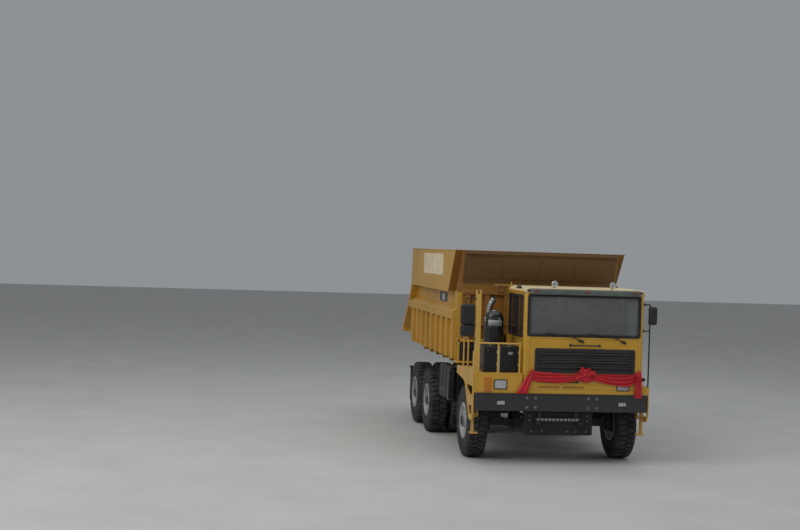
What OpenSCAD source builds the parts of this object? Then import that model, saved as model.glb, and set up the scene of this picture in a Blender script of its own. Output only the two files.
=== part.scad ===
// Rigid off-highway mining dump truck: six-wheel chassis, offset cab with an
// equipment platform beside it, tipping body with a canopy and a front hoist.
// Frame: origin on the ground at the middle, -Y forward, +X the truck's left, +Z up.

/* [Overall] */
// Y of the front bumper's face
front_y = -4280; // [-4300:5:-4260]
// Y of the tip of the body's tail
tail_y = 4310; // [4250:5:4330]

/* [Wheels] */
// Y of the front axle
axle_f_y = -3120; // [-3140:5:-3100]
// Y of the first rear axle
axle_r1_y = 480; // [460:5:500]
// Y of the second rear axle
axle_r2_y = 2080; // [2060:5:2100]
// Outer radius of a tyre
tyre_r = 670; // [660:2:674]
// Width of a tyre
tyre_w = 375; // [360:5:380]
// Radius of a tyre's bead seat
bead_r = 322; // [318:1:326]
// X of a front tyre's middle
track_f = 1412; // [1405:1:1418]
// X of the middle of an outer rear tyre
track_ro = 1512; // [1505:1:1520]
// X of the middle of an inner rear tyre
track_ri = 1078; // [1070:1:1086]
// X of a steering kingpin
kingpin_x = 1220; // [1210:1:1225]

/* [Frame] */
// Outer X of a frame rail
rail_x = 500; // [495:1:500]
// Width of a frame rail
rail_w = 80; // [70:1:80]
// Underside of the rails
rail_z0 = 1020; // [1010:2:1030]
// Top of the rails
rail_z1 = 1340; // [1330:1:1340]
// Y of the body's tipping hinge
hinge_y = 2900; // [2895:1:2905]
// Height of the body's tipping hinge
hinge_z = 1350; // [1348:1:1352]
// Radius of the tipping hinge pin
hinge_pin_r = 45; // [40:1:48]

/* [Bumper and platform] */
// Half the width of the bumper
bumper_x = 1612; // [1600:2:1620]
// Bottom of the bumper
bumper_z0 = 985; // [975:5:995]
// Top of the bumper
bumper_z1 = 1300; // [1295:1:1300]
// Height of the platform's deck
deck_z = 1660; // [1655:1:1665]
// Outer X of the platform and the left fender
side_x = 1640; // [1630:2:1650]
// Height of the top rail of the railing
railing_z = 2195; // [2180:5:2200]

/* [Cab] */
// X of the cab's right wall, outside
cab_x0 = -735; // [-745:1:-730]
// X of the cab's left wall, outside
cab_x1 = 1500; // [1495:1:1505]
// Y of the cab's front panel
cab_y0 = -4250; // [-4255:1:-4245]
// Y of the cab's rear wall, outside
cab_y1 = -2850; // [-2855:1:-2845]
// Thickness of the cab's walls
cab_t = 50; // [45:1:55]
// Underside of the roof
roof_z0 = 3130; // [3125:1:3135]
// Top of the roof
roof_z1 = 3222; // [3215:1:3230]
// How far the door swings open, in degrees
door_open = 70; // [60:1:75]

/* [Dump body] */
// Outer X of the ribs and the top board
body_x = 1680; // [1675:1:1685]
// Inner X of the load space
load_x = 1510; // [1505:1:1515]
// Y of the front wall's outer face
wall_y = -2250; // [-2255:1:-2245]
// Underside of the body's sides
body_z0 = 1755; // [1750:1:1760]
// Height of the top of the sides
body_z1 = 3860; // [3840:5:3880]
// Height where the front wall starts to lean forward
guard_z = 3240; // [3220:5:3260]
// Y of the top of the leaning spill guard
guard_y = -2450; // [-2460:5:-2430]
// How many ribs are on each side
rib_count = 9; // [8:1:9]
// Distance from one rib to the next
rib_pitch = 612; // [600:1:615]

/* [Hoist] */
// Outer radius of the hoist's barrel
hoist_r = 125; // [120:1:130]
// Height of the hoist's lower pivot
hoist_z = 1000; // [995:1:1005]
// Height of the hoist's upper pivot
hoist_top_z = 2450; // [2445:1:2455]
// Y of the hoist's upper pivot
hoist_top_y = -2580; // [-2582:1:-2578]

/* [Hidden] */
$fn = 48;

// Derived values
paint = [0.80, 0.58, 0.14];
dark = [0.16, 0.16, 0.17];
black = [0.08, 0.08, 0.085];
steel = [0.72, 0.73, 0.74];
grey = [0.40, 0.41, 0.42];
rubber = [0.07, 0.07, 0.07];
red = [0.75, 0.05, 0.08];
rail_in = rail_x - rail_w;
// The lower pivot lies as far from the tipping hinge as the upper one, so the
// hoist leans back by half of the body's tilt.
hoist_reach = sqrt(pow(hinge_y - hoist_top_y, 2) + pow(hoist_top_z - hinge_z, 2));
hoist_y = hinge_y - sqrt(pow(hoist_reach, 2) - pow(hinge_z - hoist_z, 2));
hoist_lean = atan2(hoist_top_y - hoist_y, hoist_top_z - hoist_z);
hoist_len = sqrt(pow(hoist_top_y - hoist_y, 2) + pow(hoist_top_z - hoist_z, 2));

// Shared shapes
// A block between two opposite corners.
module block(a, b) translate(a) cube([b[0] - a[0], b[1] - a[1], b[2] - a[2]]);
// Round bars along X, Y and Z.
module bar_x(x0, x1, y, z, r) translate([x0, y, z]) rotate([0, 90, 0]) cylinder(r = r, h = x1 - x0);
module bar_y(y0, y1, x, z, r) translate([x, y1, z]) rotate([90, 0, 0]) cylinder(r = r, h = y1 - y0);
module bar_z(z0, z1, x, y, r) translate([x, y, z0]) cylinder(r = r, h = z1 - z0);
// An outline in (Y, Z) extruded along X, and one in (X, Z) extruded along Y.
module sheet_x(x0, x1, pts) translate([x0, 0, 0]) rotate([90, 0, 90]) linear_extrude(x1 - x0) polygon(pts);
module sheet_y(y0, y1, pts) translate([0, y1, 0]) rotate([90, 0, 0]) linear_extrude(y1 - y0) polygon(pts);
module both_sides() { children(); mirror([1, 0, 0]) children(); }
// A rectangular frame: a plate across Y with a window in it.
module framed_y(y0, y1, a, b, wa, wb) difference() {
    block([a[0], y0, a[1]], [b[0], y1, b[1]]);
    block([wa[0], y0 - 5, wa[1]], [wb[0], y1 + 5, wb[1]]);
}
module framed_x(x0, x1, a, b, wa, wb) difference() {
    block([x0, a[0], a[1]], [x1, b[0], b[1]]);
    block([x0 - 5, wa[0], wa[1]], [x1 + 5, wb[0], wb[1]]);
}

// Welded box rails, crossmembers, hinge brackets and tow hitch
module chassis_frame() color(grey) {
    // [y0, y1, z0, z1] of each crossmember between the rails
    crossmembers = [[-4060, -3990, 1040, 1300], [-2000, -1920, 1060, 1300],
        [-800, -720, 1060, 1300], [1120, 1440, 1040, 1320], [2660, 2780, 1060, 1280]];
    difference() {
        union() {
            both_sides() block([rail_in, -4060, rail_z0], [rail_x, 2780, rail_z1]);
            for (c = crossmembers) block([-rail_in - 1, c[0], c[2]], [rail_in + 1, c[1], c[3]]);
            // Brackets that carry the tipping hinge
            both_sides() sheet_x(rail_x - 1, rail_x + 45, [[2350, 1150], [2700, 1080], [2900, 1200],
                [2985, 1290], [2985, 1410], [2930, 1440], [2860, 1440], [2780, 1335], [2350, 1335]]);
            bar_x(-rail_x - 45, rail_x + 45, hinge_y, hinge_z, hinge_pin_r);
            // Rear hitch plate with its lug
            block([-130, 2700, 1090], [130, 2870, 1130]);
            bar_z(1090, 1130, 0, 2870, 90);
            // Lower front crossmember with two tow lugs
            block([-640, -4060, 540], [640, -3990, 960]);
            both_sides() block([rail_in, -4060, 950], [rail_x, -3930, 1030]);
            both_sides() block([330, -4150, 740], [450, -4050, 780]);
            both_sides() bar_z(740, 780, 390, -4150, 60);
        }
        // Vertical eye bores of the tow lugs and the hitch
        both_sides() bar_z(700, 800, 390, -4150, 30);
        bar_z(1050, 1150, 0, 2870, 32);
    }
}
// Outriggers of the deck, the cab and the fender, tank bearers, spring hangers and
// bogie trunnions, all welded on the rails
module frame_brackets() color(grey) {
    for (y = [-4050, -2960]) both_sides() {
        block([rail_in, y, rail_z1], [rail_x, y + 60, deck_z]);
        block([rail_in, y, 1540], [side_x - 22, y + 60, 1600]);
    }
    // Post and shelf bearer of the hydraulic tank
    block([-rail_x, -2500, rail_z1], [-rail_in, -2440, 1700]);
    block([-side_x, -2500, 1660], [-rail_in, -2440, 1700]);
    // Tank brackets on both sides behind the front wheels
    both_sides() for (y = [-1900, -920]) block([rail_x, y, 1080], [645, y + 80, 1300]);
    // Bogie trunnions
    both_sides() { bar_x(rail_x, 645, 1280, 1080, 70); bar_x(640, 735, 1280, 1080, 40); }
    // Hangers of the front springs
    both_sides() for (y = [-3900, -2400]) {
        block([rail_x, y, 900], [610, y + 60, 1100]);
        block([560, y, 820], [610, y + 60, 1000]);
    }
}
// Cradle between the rails under the hoist's lower pivot, with the pivot's two ears
module hoist_cradle() color(grey) difference() {
    union() {
        block([-rail_in, hoist_y - 90, 820], [rail_in, hoist_y + 90, 900]);
        both_sides() block([rail_in - 50, hoist_y - 90, 820], [rail_in, hoist_y + 90, 1200]);
        both_sides() block([78, hoist_y - 52, 890], [118, hoist_y + 52, hoist_z]);
        both_sides() bar_x(78, 118, hoist_y, hoist_z, 52);
    }
    both_sides() bar_x(70, 125, hoist_y, hoist_z, 30.5);
}

// Full-width bumper beam with chamfered ends and recesses for the fog lamps
module front_bumper() color(dark) difference() {
    translate([0, 0, bumper_z0]) linear_extrude(bumper_z1 - bumper_z0) polygon([
        [-bumper_x + 30, front_y], [bumper_x - 30, front_y], [bumper_x, front_y + 40],
        [bumper_x, front_y + 220], [-bumper_x, front_y + 220], [-bumper_x, front_y + 40]]);
    both_sides() block([1042, front_y - 5, 1086], [1214, front_y + 60, 1180]);
    // Hollow back of the beam between its ends
    both_sides() block([560, front_y + 50, bumper_z0 + 40], [1560, front_y + 225, bumper_z1 - 40]);
}

// Deck, front fender panel with the lamp opening, side plate and rear valance
arch = [[-2640, 1535], [-2900, 1512], [-3380, 1462], [-3530, 1385], [-3640, 1220], [-3820, 980], [-3930, 795]];
module fender_side(x0, x1, top, front, nose = []) difference() {
    sheet_x(x0, x1, concat([[-2640, top]], nose, [[front, len(nose) > 0 ? nose[1][1] : top],
        [front, 930], [-4160, 795]], [for (i = [len(arch) - 1:-1:0]) arch[i]]));
    // Two footholds, one over the other
    sheet_x(x0 - 5, x1 + 5, [[-4190, 1250], [-3970, 1250], [-3700, 1335], [-3700, 1415], [-4190, 1415]]);
    sheet_x(x0 - 5, x1 + 5, [[-4190, 895], [-3960, 895], [-3880, 985], [-3880, 1060], [-4190, 1060]]);
}
module platform_right() color(paint) {
    block([-side_x + 20, -4230, deck_z - 30], [cab_x0 - 2, -2640, deck_z]);
    fender_side(-side_x, -side_x + 20, deck_z, -4250);
    difference() {
        block([-side_x, -4250, bumper_z1 + 5], [cab_x0 - 2, -4230, deck_z]);
        block([-1262, -4260, 1372], [-1018, -4220, 1550]);
    }
    // Rear valance and the stringers on the outriggers
    block([-side_x + 20, -2660, 1560], [cab_x0 - 2, -2640, deck_z - 30]);
    for (y = [-4050, -2960]) block([-side_x + 20, y, 1600], [cab_x0 - 2, y + 60, deck_z - 30]);
}

// Running board and side plate under the door
module fender_left() color(paint) {
    sheet_x(cab_x1 + 2, side_x - 20, [[-4230, 1420], [-3960, 1420], [-3620, 1600], [-2640, 1600],
        [-2640, 1630], [-3629, 1630], [-3969, 1450], [-4230, 1450]]);
    fender_side(side_x - 20, side_x, 1630, -4250, [[-3629, 1630], [-3969, 1450]]);
    block([cab_x1 + 2, -4250, bumper_z1 + 5], [side_x - 20, -4230, 1450]);
}

// Lowest step of each side, hung on two straps, and the treads behind the footholds
module boarding_steps() color(paint) both_sides() {
    for (y = [-4055, -3945]) block([side_x - 70, y, 560], [side_x - 40, y + 20, 1250]);
    block([side_x - 150, -4055, 540], [side_x - 10, -3925, 566]);
    block([side_x - 150, -4055, 880], [side_x - 20, -3925, 900]);
    block([side_x - 150, -4055, 1232], [side_x - 20, -3925, 1252]);
}

// Tube railing of the deck, side handrails and the corner post
module railing() color([0.86, 0.80, 0.62]) {
    tube = 17;
    bar_x(-1546, -794, -4215, railing_z, tube);
    for (x = [-1546, -1189, -794]) bar_z(deck_z, railing_z, x, -4215, tube);
    for (x = [-1546, -794]) translate([x, -4215, railing_z]) sphere(tube);
    // Inverted-U handrail at the deck's outer edge: [y0, y1, top z]
    for (h = [[-3560, -3140, 2225]]) {
        for (y = [h[0], h[1]]) { bar_z(deck_z, h[2], -1612, y, tube); translate([-1612, y, h[2]]) sphere(tube); }
        bar_y(h[0], h[1], -1612, h[2], tube);
    }
    // Square corner post with its wider foot
    difference() {
        union() {
            block([-1622, -4225, deck_z], [-1530, -4140, 3148]);
            block([-1640, -4229, deck_z], [-1562, -4130, 2050]);
        }
        // Forked top
        block([-1602, -4240, 3080], [-1550, -4120, 3160]);
    }
}

// Two-part mirror on the corner post, and the tall mirror on its long tube
module mirrors() color(black) {
    block([-1895, -4225, 2505], [-1642, -4130, 2884]);
    block([-1895, -4225, 2318], [-1642, -4130, 2490]);
    block([-1700, -4195, 2300], [-1680, -4165, 2900]);
    block([-1700, -4190, 2880], [-1622, -4170, 2905]);
    block([-1700, -4190, 2296], [-1622, -4170, 2318]);
    block([1600, -4250, 2590], [1800, -4165, 2925]);
    bar_z(1450, 2960, 1625, -4205, 14);
    bar_x(cab_x1, 1630, -4205, 2960, 14);
    bar_x(cab_x1, 1630, -4205, 2480, 14);
}

// Cab shell
module cab_floor() color(dark) block([cab_x0 + cab_t, cab_y0 + 60, deck_z], [cab_x1 - cab_t, cab_y1 - cab_t, deck_z + 45]);
module cab_front() color(paint) difference() {
    // Corners of the panel are rounded in plan
    intersection() {
        block([cab_x0, cab_y0, bumper_z1 + 5], [cab_x1, cab_y0 + 60, roof_z0]);
        translate([0, 0, 1000]) linear_extrude(2500) union() {
            translate([cab_x0 + 55, cab_y0]) square([cab_x1 - cab_x0 - 110, 60]);
            translate([cab_x0, cab_y0 + 55]) square([cab_x1 - cab_x0, 60]);
            for (x = [cab_x0 + 55, cab_x1 - 55]) translate([x, cab_y0 + 55]) circle(55);
        }
    }
    // Windscreen and grille openings
    block([-650, cab_y0 - 10, 2365], [1410, cab_y0 + 70, 3085]);
    block([-515, cab_y0 - 10, 1690], [1342, cab_y0 + 70, 2122]);
}
module cab_roof() color(paint) difference() {
    sheet_y(cab_y0, cab_y1, [[cab_x0, roof_z0], [cab_x1, roof_z0], [cab_x1, roof_z0 + 45],
        [cab_x1 - 25, roof_z1 - 18], [cab_x1 - 90, roof_z1], [cab_x0 + 90, roof_z1],
        [cab_x0 + 25, roof_z1 - 18], [cab_x0, roof_z0 + 45]]);
    // Shallow headliner recess
    block([cab_x0 + 120, cab_y0 + 140, roof_z0 - 5], [cab_x1 - 120, cab_y1 - 120, roof_z0 + 40]);
}
module cab_rear_wall() color(paint) framed_y(cab_y1 - cab_t, cab_y1, [cab_x0, deck_z], [cab_x1, roof_z0], [-250, 2450], [1050, 3000]);
module cab_side_right() color(paint) framed_x(cab_x0, cab_x0 + cab_t, [cab_y0 + 60, deck_z], [cab_y1 - cab_t, roof_z0], [-4130, 2330], [-2960, 3060]);
// Left side: the frame around the door, and a quarter window behind it
module cab_side_left() color(paint) difference() {
    framed_x(cab_x1 - cab_t, cab_x1, [cab_y0 + 60, deck_z], [cab_y1 - cab_t, roof_z0], [-4130, 1720], [-3220, 3070]);
    block([cab_x1 - cab_t - 5, -3150, 2330], [cab_x1 + 5, -2960, 3060]);
}
module cab_glass() color([0.25, 0.30, 0.32, 0.5]) {
    block([-650, cab_y0 + 16, 2365], [1410, cab_y0 + 28, 3085]);
    block([cab_x0 + 18, -4130, 2330], [cab_x0 + 26, -2960, 3060]);
    block([-250, cab_y1 - 30, 2450], [1050, cab_y1 - 22, 3000]);
    block([cab_x1 - 26, -3150, 2330], [cab_x1 - 18, -2960, 3060]);
}
// Radiator grille with its surround and seven bars
module grille() color(dark) difference() {
    block([-515, cab_y0 - 10, 1690], [1342, cab_y0 + 60, 2122]);
    for (i = [0:6]) block([-470, cab_y0 - 15, 1720 + i * 56], [1297, cab_y0 + 20, 1752 + i * 56]);
}
module sun_visor() color([0.36, 0.38, 0.36]) sheet_x(-640, 1400, [[cab_y0, 3205], [cab_y0 - 34, 3203],
    [cab_y0 - 50, 3186], [cab_y0 - 56, 3102], [cab_y0 - 44, 3100], [cab_y0 - 38, 3176], [cab_y0 - 28, 3190], [cab_y0, 3192]]);
module dashboard() color(dark) dashboard_body();
module dashboard_body() sheet_x(cab_x0 + cab_t, cab_x1 - cab_t, [[cab_y0 + 60, 2150], [cab_y0 + 60, 2340], [cab_y0 + 200, 2350],
    [cab_y0 + 420, 2290], [cab_y0 + 440, 2200], [cab_y0 + 330, 2060], [cab_y0 + 300, deck_z + 45], [cab_y0 + 240, deck_z + 45], [cab_y0 + 240, 2000]]);
// Wheel on its raked column in front of the driver, on the truck's left
module steering_wheel() color(black) difference() {
    translate([880, cab_y0 + 520, 2370]) rotate([-30, 0, 0]) {
        rotate_extrude() translate([215, 0]) circle(16);
        translate([0, 0, -30]) cylinder(r = 60, h = 45);
        for (a = [90, 210, 330]) rotate([0, 0, a]) translate([40, -16, -14]) cube([165, 32, 16]);
        translate([0, 0, -230]) cylinder(r = 28, h = 210);
    }
    dashboard_body();
}
// A driver's seat and a mate's seat: base, cushion, back and headrest
module seats() color(black) for (x = [880, -140]) {
    block([x - 180, -3560, deck_z + 45], [x + 180, -3220, 1960]);
    block([x - 250, -3640, 1960], [x + 250, -3140, 2080]);
    sheet_x(x - 240, x + 240, [[-3150, 2080], [-3270, 2080], [-3160, 2760], [-3050, 2760]]);
    block([x - 130, -3145, 2770], [x + 130, -3055, 2930]);
    block([x - 50, -3110, 2758], [x + 50, -3080, 2772]);
}
// Head, fog, roof and tail lamps
module lamps() color([0.85, 0.86, 0.84]) {
    block([-1262, -4262, 1372], [-1018, -4200, 1550]);
    block([1018, -4262, 1372], [1262, cab_y0, 1550]);
    both_sides() block([1042, front_y + 8, 1086], [1214, front_y + 60, 1180]);
    for (x = [-190, 895]) {
        bar_y(-4215, -4140, x, 3292, 56);
        bar_z(roof_z1, 3240, x, -4180, 16);
    }
    both_sides() block([300, 2780, 1170], [400, 2825, 1270]);
}
// Equipment cabinets on the platform
module cooler_boxes() color(black) {
    block([-1420, -4060, deck_z], [-1155, -3350, 2130]);
    block([-1110, -4060, deck_z], [-760, -3350, 2130]);
}
// Dry air cleaner: drum, clamp band, domed top and base
module air_cleaner() color(black) {
    x = -1150; y = -3560;
    bar_z(2130, 2600, x, y, 182);
    bar_z(2600, 2650, x, y, 168);
    translate([x, y, 2650]) rotate_extrude() polygon([[0, 0], [168, 0], [150, 50], [100, 88], [45, 104], [0, 106]]);
}
// Exhaust stack with its muffler and outlet elbow
module exhaust() color(steel) {
    x = -1100; y = -3000;
    bar_z(deck_z, 2250, x, y, 110);
    bar_z(2250, 2790, x, y, 58);
    translate([x, y, 2790]) sphere(64);
    translate([x, y, 2790]) rotate([26, 16, 0]) cylinder(r = 64, h = 215);
}
// Hydraulic oil tank in its open frame behind the platform
module hydraulic_tank() color(black) {
    block([-1590, -2600, 1745], [-960, -2350, 2105]);
    block([-side_x, -2620, 1700], [-940, -2330, 1740]);
    for (x = [-side_x, -980]) for (y = [-2620, -2370]) block([x, y, 1740], [x + 40, y + 40, 2150]);
    for (y = [-2620, -2370]) block([-side_x, y, 2110], [-940, y + 40, 2150]);
    for (x = [-side_x, -980]) block([x, -2620, 2110], [x + 40, -2330, 2150]);
}
// Fuel tank on each side behind the front wheels, with rounded long edges
module fuel_tanks() color(dark) both_sides() {
    block([645, -2000, 960], [1650, -820, 1500]);
    block([705, -2000, 900], [1590, -820, 1560]);
    for (x = [705, 1590]) for (z = [960, 1500]) bar_y(-2000, -820, x, z, 60);
}
// Engine between the rails under the cab, as one block on its mounts
module engine_block() color(grey) {
    block([-370, -3960, 950], [370, -2960, 1600]);
    both_sides() for (y = [-3800, -3120]) block([369, y, 1080], [rail_in, y + 80, 1160]);
}
// Gearbox, its output and the two propeller shafts
module driveline() color(grey) {
    sheet_x(-260, 260, [[-2960, 620], [-2960, 1380], [-2900, 1300], [-2860, 960], [-2810, 940], [-2810, 640]]);
    bar_y(-2810, -2700, 0, 700, 90);
    bar_y(-2700, 160, 0, 690, 55);
    bar_y(800, 1760, 0, 690, 50);
}
// Drop beam with the kingpin yokes
module front_axle() color(grey) both_sides() {
    sheet_y(axle_f_y - 65, axle_f_y + 65, [[-1, 560], [640, 560], [860, 600], [1110, 600], [1110, 740], [860, 740], [640, 700], [-1, 700]]);
    block([1080, axle_f_y - 70, 520], [1140, axle_f_y + 70, 820]);
    for (z = [[520, 562], [778, 820]]) {
        block([1130, axle_f_y - 70, z[0]], [kingpin_x, axle_f_y + 70, z[1]]);
        bar_z(z[0], z[1], kingpin_x, axle_f_y, 70);
    }
    bar_z(530, 810, kingpin_x, axle_f_y, 38);
    block([540, axle_f_y - 110, 560], [640, axle_f_y + 110, 720]);
}
// Banjo housings with differentials and spindles
module rear_axles() color(grey) for (y = [axle_r1_y, axle_r2_y]) {
    bar_x(-860, 860, y, tyre_r, 115);
    bar_x(-1640, 1640, y, tyre_r, 58);
    translate([0, y, tyre_r]) rotate([90, 0, 0]) rotate_extrude() polygon([[0, -215], [130, -215], [225, -150], [268, -60], [268, 60], [225, 150], [130, 215], [0, 215]]);
    bar_y(y - 320, y - 100, 0, tyre_r + 20, 105);
    if (y == axle_r1_y) bar_y(y + 100, y + 320, 0, tyre_r + 20, 105);
    both_sides() block([620, y - 110, 560], [740, y + 110, 800]);
}
// Semi-elliptic front packs and the inverted bogie packs at the rear
module leaf_springs() color(dark) {
    // [half length, thickness] of the leaves from the longest to the shortest
    front = [[720, 36], [600, 36], [470, 36], [330, 36]];
    rear = [[830, 44], [720, 44], [600, 44], [470, 44], [330, 44]];
    both_sides() for (i = [0:len(front) - 1]) block([545, axle_f_y - front[i][0], 864 - (i + 1) * 36], [635, axle_f_y + front[i][0], 864 - i * 36]);
    both_sides() for (i = [0:len(rear) - 1]) block([645, 1280 - rear[i][0], 800 + i * 44], [735, 1280 + rear[i][0], 844 + i * 44]);
    both_sides() difference() {
        block([645, 1180, 1020], [735, 1380, 1160]);
        bar_x(640, 740, 1280, 1080, 40.2);
    }
}
// Red cloth ribbon tied across the grille: swag, two tails and a bow
module ribbon() color(red) {
    sheet_y(cab_y0 - 50, cab_y0 - 16, [[-640, 1640], [-460, 1690], [300, 1560], [420, 1560], [1180, 1640], [1360, 1660], [1360, 1520], [1100, 1470], [420, 1430], [300, 1430], [-440, 1560], [-600, 1530]]);
    sheet_y(cab_y0 - 50, cab_y0 - 16, [[-640, 1640], [-520, 1640], [-560, 1320], [-720, 1330]]);
    sheet_y(cab_y0 - 76, cab_y0 - 50, [[1250, 1660], [1370, 1660], [1400, 1190], [1280, 1190]]);
    bar_y(cab_y0 - 80, cab_y0 - 16, 360, 1610, 150);
}

// Driver's door, hinged at its front edge
module door_left() color(paint) {
    framed_x(cab_x1 - 40, cab_x1 + 4, [-4122, 1728], [-3228, 3062], [-4030, 2340], [-3310, 2980]);
    block([cab_x1 + 4, -3340, 2180], [cab_x1 + 34, -3250, 2210]);
}
module door_glass() color([0.25, 0.30, 0.32, 0.5]) block([cab_x1 - 24, -4030, 2340], [cab_x1 - 16, -3310, 2980]);

// Dump body
// Side profile: upper edge points of the tail, in (Y, Z)
module side_outline(x0, x1) sheet_x(x0, x1, [[wall_y, body_z0], [2850, body_z0], [tail_y, 1925], [tail_y, 1985],
    [3330, 2720], [3080, 3060], [3000, body_z1], [guard_y, body_z1], [wall_y, guard_z]]);
module body_side() {
    // Inner plate of the side
    side_outline(load_x, load_x + 25);
    // Closed lower panel behind the ribs
    sheet_x(load_x + 25, 1612, [[wall_y, body_z0], [2850, body_z0], [3400, 1822], [3400, 2520], [wall_y, 2520]]);
    // Ribs: [first Y, pitch]
    for (i = [0:rib_count - 1]) {
        y = wall_y + i * rib_pitch;
        block([1610, y, body_z0], [body_x, y + 200, 2522]);
    }
    // Rail with its sloping ledge
    sheet_y(wall_y, 3330, [[load_x + 25, 2515], [body_x + 6, 2515], [body_x + 6, 2672], [load_x + 25, 2760]]);
    // Inclined tail post
    sheet_x(load_x + 25, body_x, [[tail_y, 1925], [tail_y, 2000], [3330, 2760], [3080, 3060], [2930, 3060], [3200, 2720], [4080, 2000], [4080, 1900]]);
    // Upper board over the recessed panel, leaning forward to the canopy
    sheet_x(load_x + 25, body_x, [[-1650, 3040], [3080, 3040], [3000, body_z1], [-2345, body_z1]]);
    // Front corner post beside the recess
    block([load_x + 25, wall_y, 2672], [load_x + 85, wall_y + 60, guard_z]);
}
module body_side_left() color(paint) body_side();
module body_side_right() color(paint) mirror([1, 0, 0]) body_side();
module body_front_wall() color(paint) difference() {
    union() {
        block([-load_x, wall_y, body_z0], [load_x, wall_y + 40, 3200]);
        // Vertical stiffeners on the outer face
        for (x = [-1440, -1060, -680, -300, 220, 600, 980, 1360]) block([x, wall_y - 60, 1800], [x + 80, wall_y + 1, 3060]);
        for (x = [-1500, 200]) block([x, wall_y - 70, 1760], [x + 1300, wall_y + 1, 1830]);
        block([-1500, wall_y - 70, 3010], [1500, wall_y + 1, 3080]);
        // Ears of the hoist's upper pivot
        both_sides() sheet_x(66, 110, [[wall_y + 1, 2180], [wall_y + 1, 2700], [hoist_top_y - 60, hoist_top_z + 70], [hoist_top_y - 75, hoist_top_z - 20], [hoist_top_y + 10, hoist_top_z - 75]]);
    }
    both_sides() bar_x(60, 120, hoist_top_y, hoist_top_z, 31);
}
// Spill guard that leans forward over the front wall, with its top rim
module body_canopy() color(paint) {
    sheet_x(-load_x, load_x, [[wall_y, 3200], [wall_y, guard_z], [guard_y, body_z1], [guard_y + 50, body_z1],
        [wall_y + 40, guard_z + 10], [wall_y + 40, 3200]]);
    block([-load_x, guard_y - 40, body_z1 - 70], [load_x, guard_y + 50, body_z1]);
}
// Floor with its cross bearers and the two long hinge beams
module body_floor() color(paint) difference() {
    union() {
        sheet_x(-load_x, load_x, [[wall_y + 40, body_z0], [wall_y + 40, body_z0 + 60], [2850, body_z0 + 60], [tail_y, 1985], [tail_y, 1925], [2850, body_z0]]);
        both_sides() block([428, -2100, hinge_z], [493, hinge_y, body_z0 + 1]);
        both_sides() sheet_x(428, 493, [[hinge_y - 1, hinge_z], [hinge_y - 1, body_z0 + 1], [3300, 1811], [3300, 1770], [hinge_y + 60, 1520]]);
        both_sides() bar_x(428, 493, hinge_y, hinge_z, 88);
        for (y = [-1900, -1100, -300, 500, 1300, 2100]) block([-1500, y, body_z0 - 130], [1500, y + 90, body_z0 + 1]);
        for (y = [-1500, 900, 2600]) block([-430, y, 1440], [430, y + 90, 1620]);
    }
    both_sides() bar_x(420, 500, hinge_y, hinge_z, hinge_pin_r + 1);
    // The beams rest just above the rails
    block([-600, -2300, hinge_z - 100], [600, hinge_y - 88, hinge_z]);
}

// Hoist: a barrel on its lower pivot, three telescopic stages and the rod, drawn closed
module hoist_frame() translate([0, hoist_y, hoist_z]) rotate([-hoist_lean, 0, 0]) children();
module tube_z(r, inner, z0, z1) difference() {
    bar_z(z0, z1, 0, 0, r);
    bar_z(z0 + 30, z1 + 1, 0, 0, inner);
}
module hoist_barrel() color(dark) hoist_frame() difference() {
    union() {
        bar_z(110, 1280, 0, 0, hoist_r);
        bar_z(1200, 1280, 0, 0, hoist_r + 14);
        bar_x(-70, 70, 0, 0, 52);
        block([-70, -45, 0], [70, 45, 112]);
        bar_x(-112, 112, 0, 0, 30);
    }
    bar_z(140, 1281, 0, 0, 106);
}
module hoist_stage_1() color(steel) hoist_frame() tube_z(104, 86, 146, 1305);
module hoist_stage_2() color(steel) hoist_frame() tube_z(84, 66, 182, 1330);
module hoist_stage_3() color(steel) hoist_frame() tube_z(64, 48, 218, 1355);
module hoist_rod() color(steel) hoist_frame() union() {
    bar_z(254, hoist_len - 40, 0, 0, 46);
    bar_x(-58, 58, 0, hoist_len, 55);
    block([-50, -40, hoist_len - 85], [50, 40, hoist_len]);
}

// Steering knuckle on its kingpin, with the brake drum side and the spindle
module knuckle() difference() {
    union() {
        bar_z(568, 772, kingpin_x, axle_f_y, 66);
        block([kingpin_x, axle_f_y - 66, 590], [1300, axle_f_y + 66, 750]);
        bar_x(1296, 1330, axle_f_y, tyre_r, 180);
        bar_x(1296, 1560, axle_f_y, tyre_r, 58);
    }
    bar_z(500, 840, kingpin_x, axle_f_y, 39.5);
}
module knuckle_left() color(grey) knuckle();
module knuckle_right() color(grey) mirror([1, 0, 0]) knuckle();

// Tyre section: [radius, half width] round the carcass from bead to tread
tyre_section = [[bead_r, 0.40], [bead_r + 30, 0.46], [tyre_r * 0.72, 0.50], [tyre_r * 0.86, 0.495], [tyre_r * 0.95, 0.455], [tyre_r * 0.99, 0.40], [tyre_r, 0.33]];
module tyre(x, y) translate([x, y, tyre_r]) rotate([0, 90, 0]) rotate_extrude($fn = 72) polygon(concat(
    [for (p = tyre_section) [p[0], p[1] * tyre_w]], [for (i = [len(tyre_section) - 1:-1:0]) [tyre_section[i][0], -tyre_section[i][1] * tyre_w]]));
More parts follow.
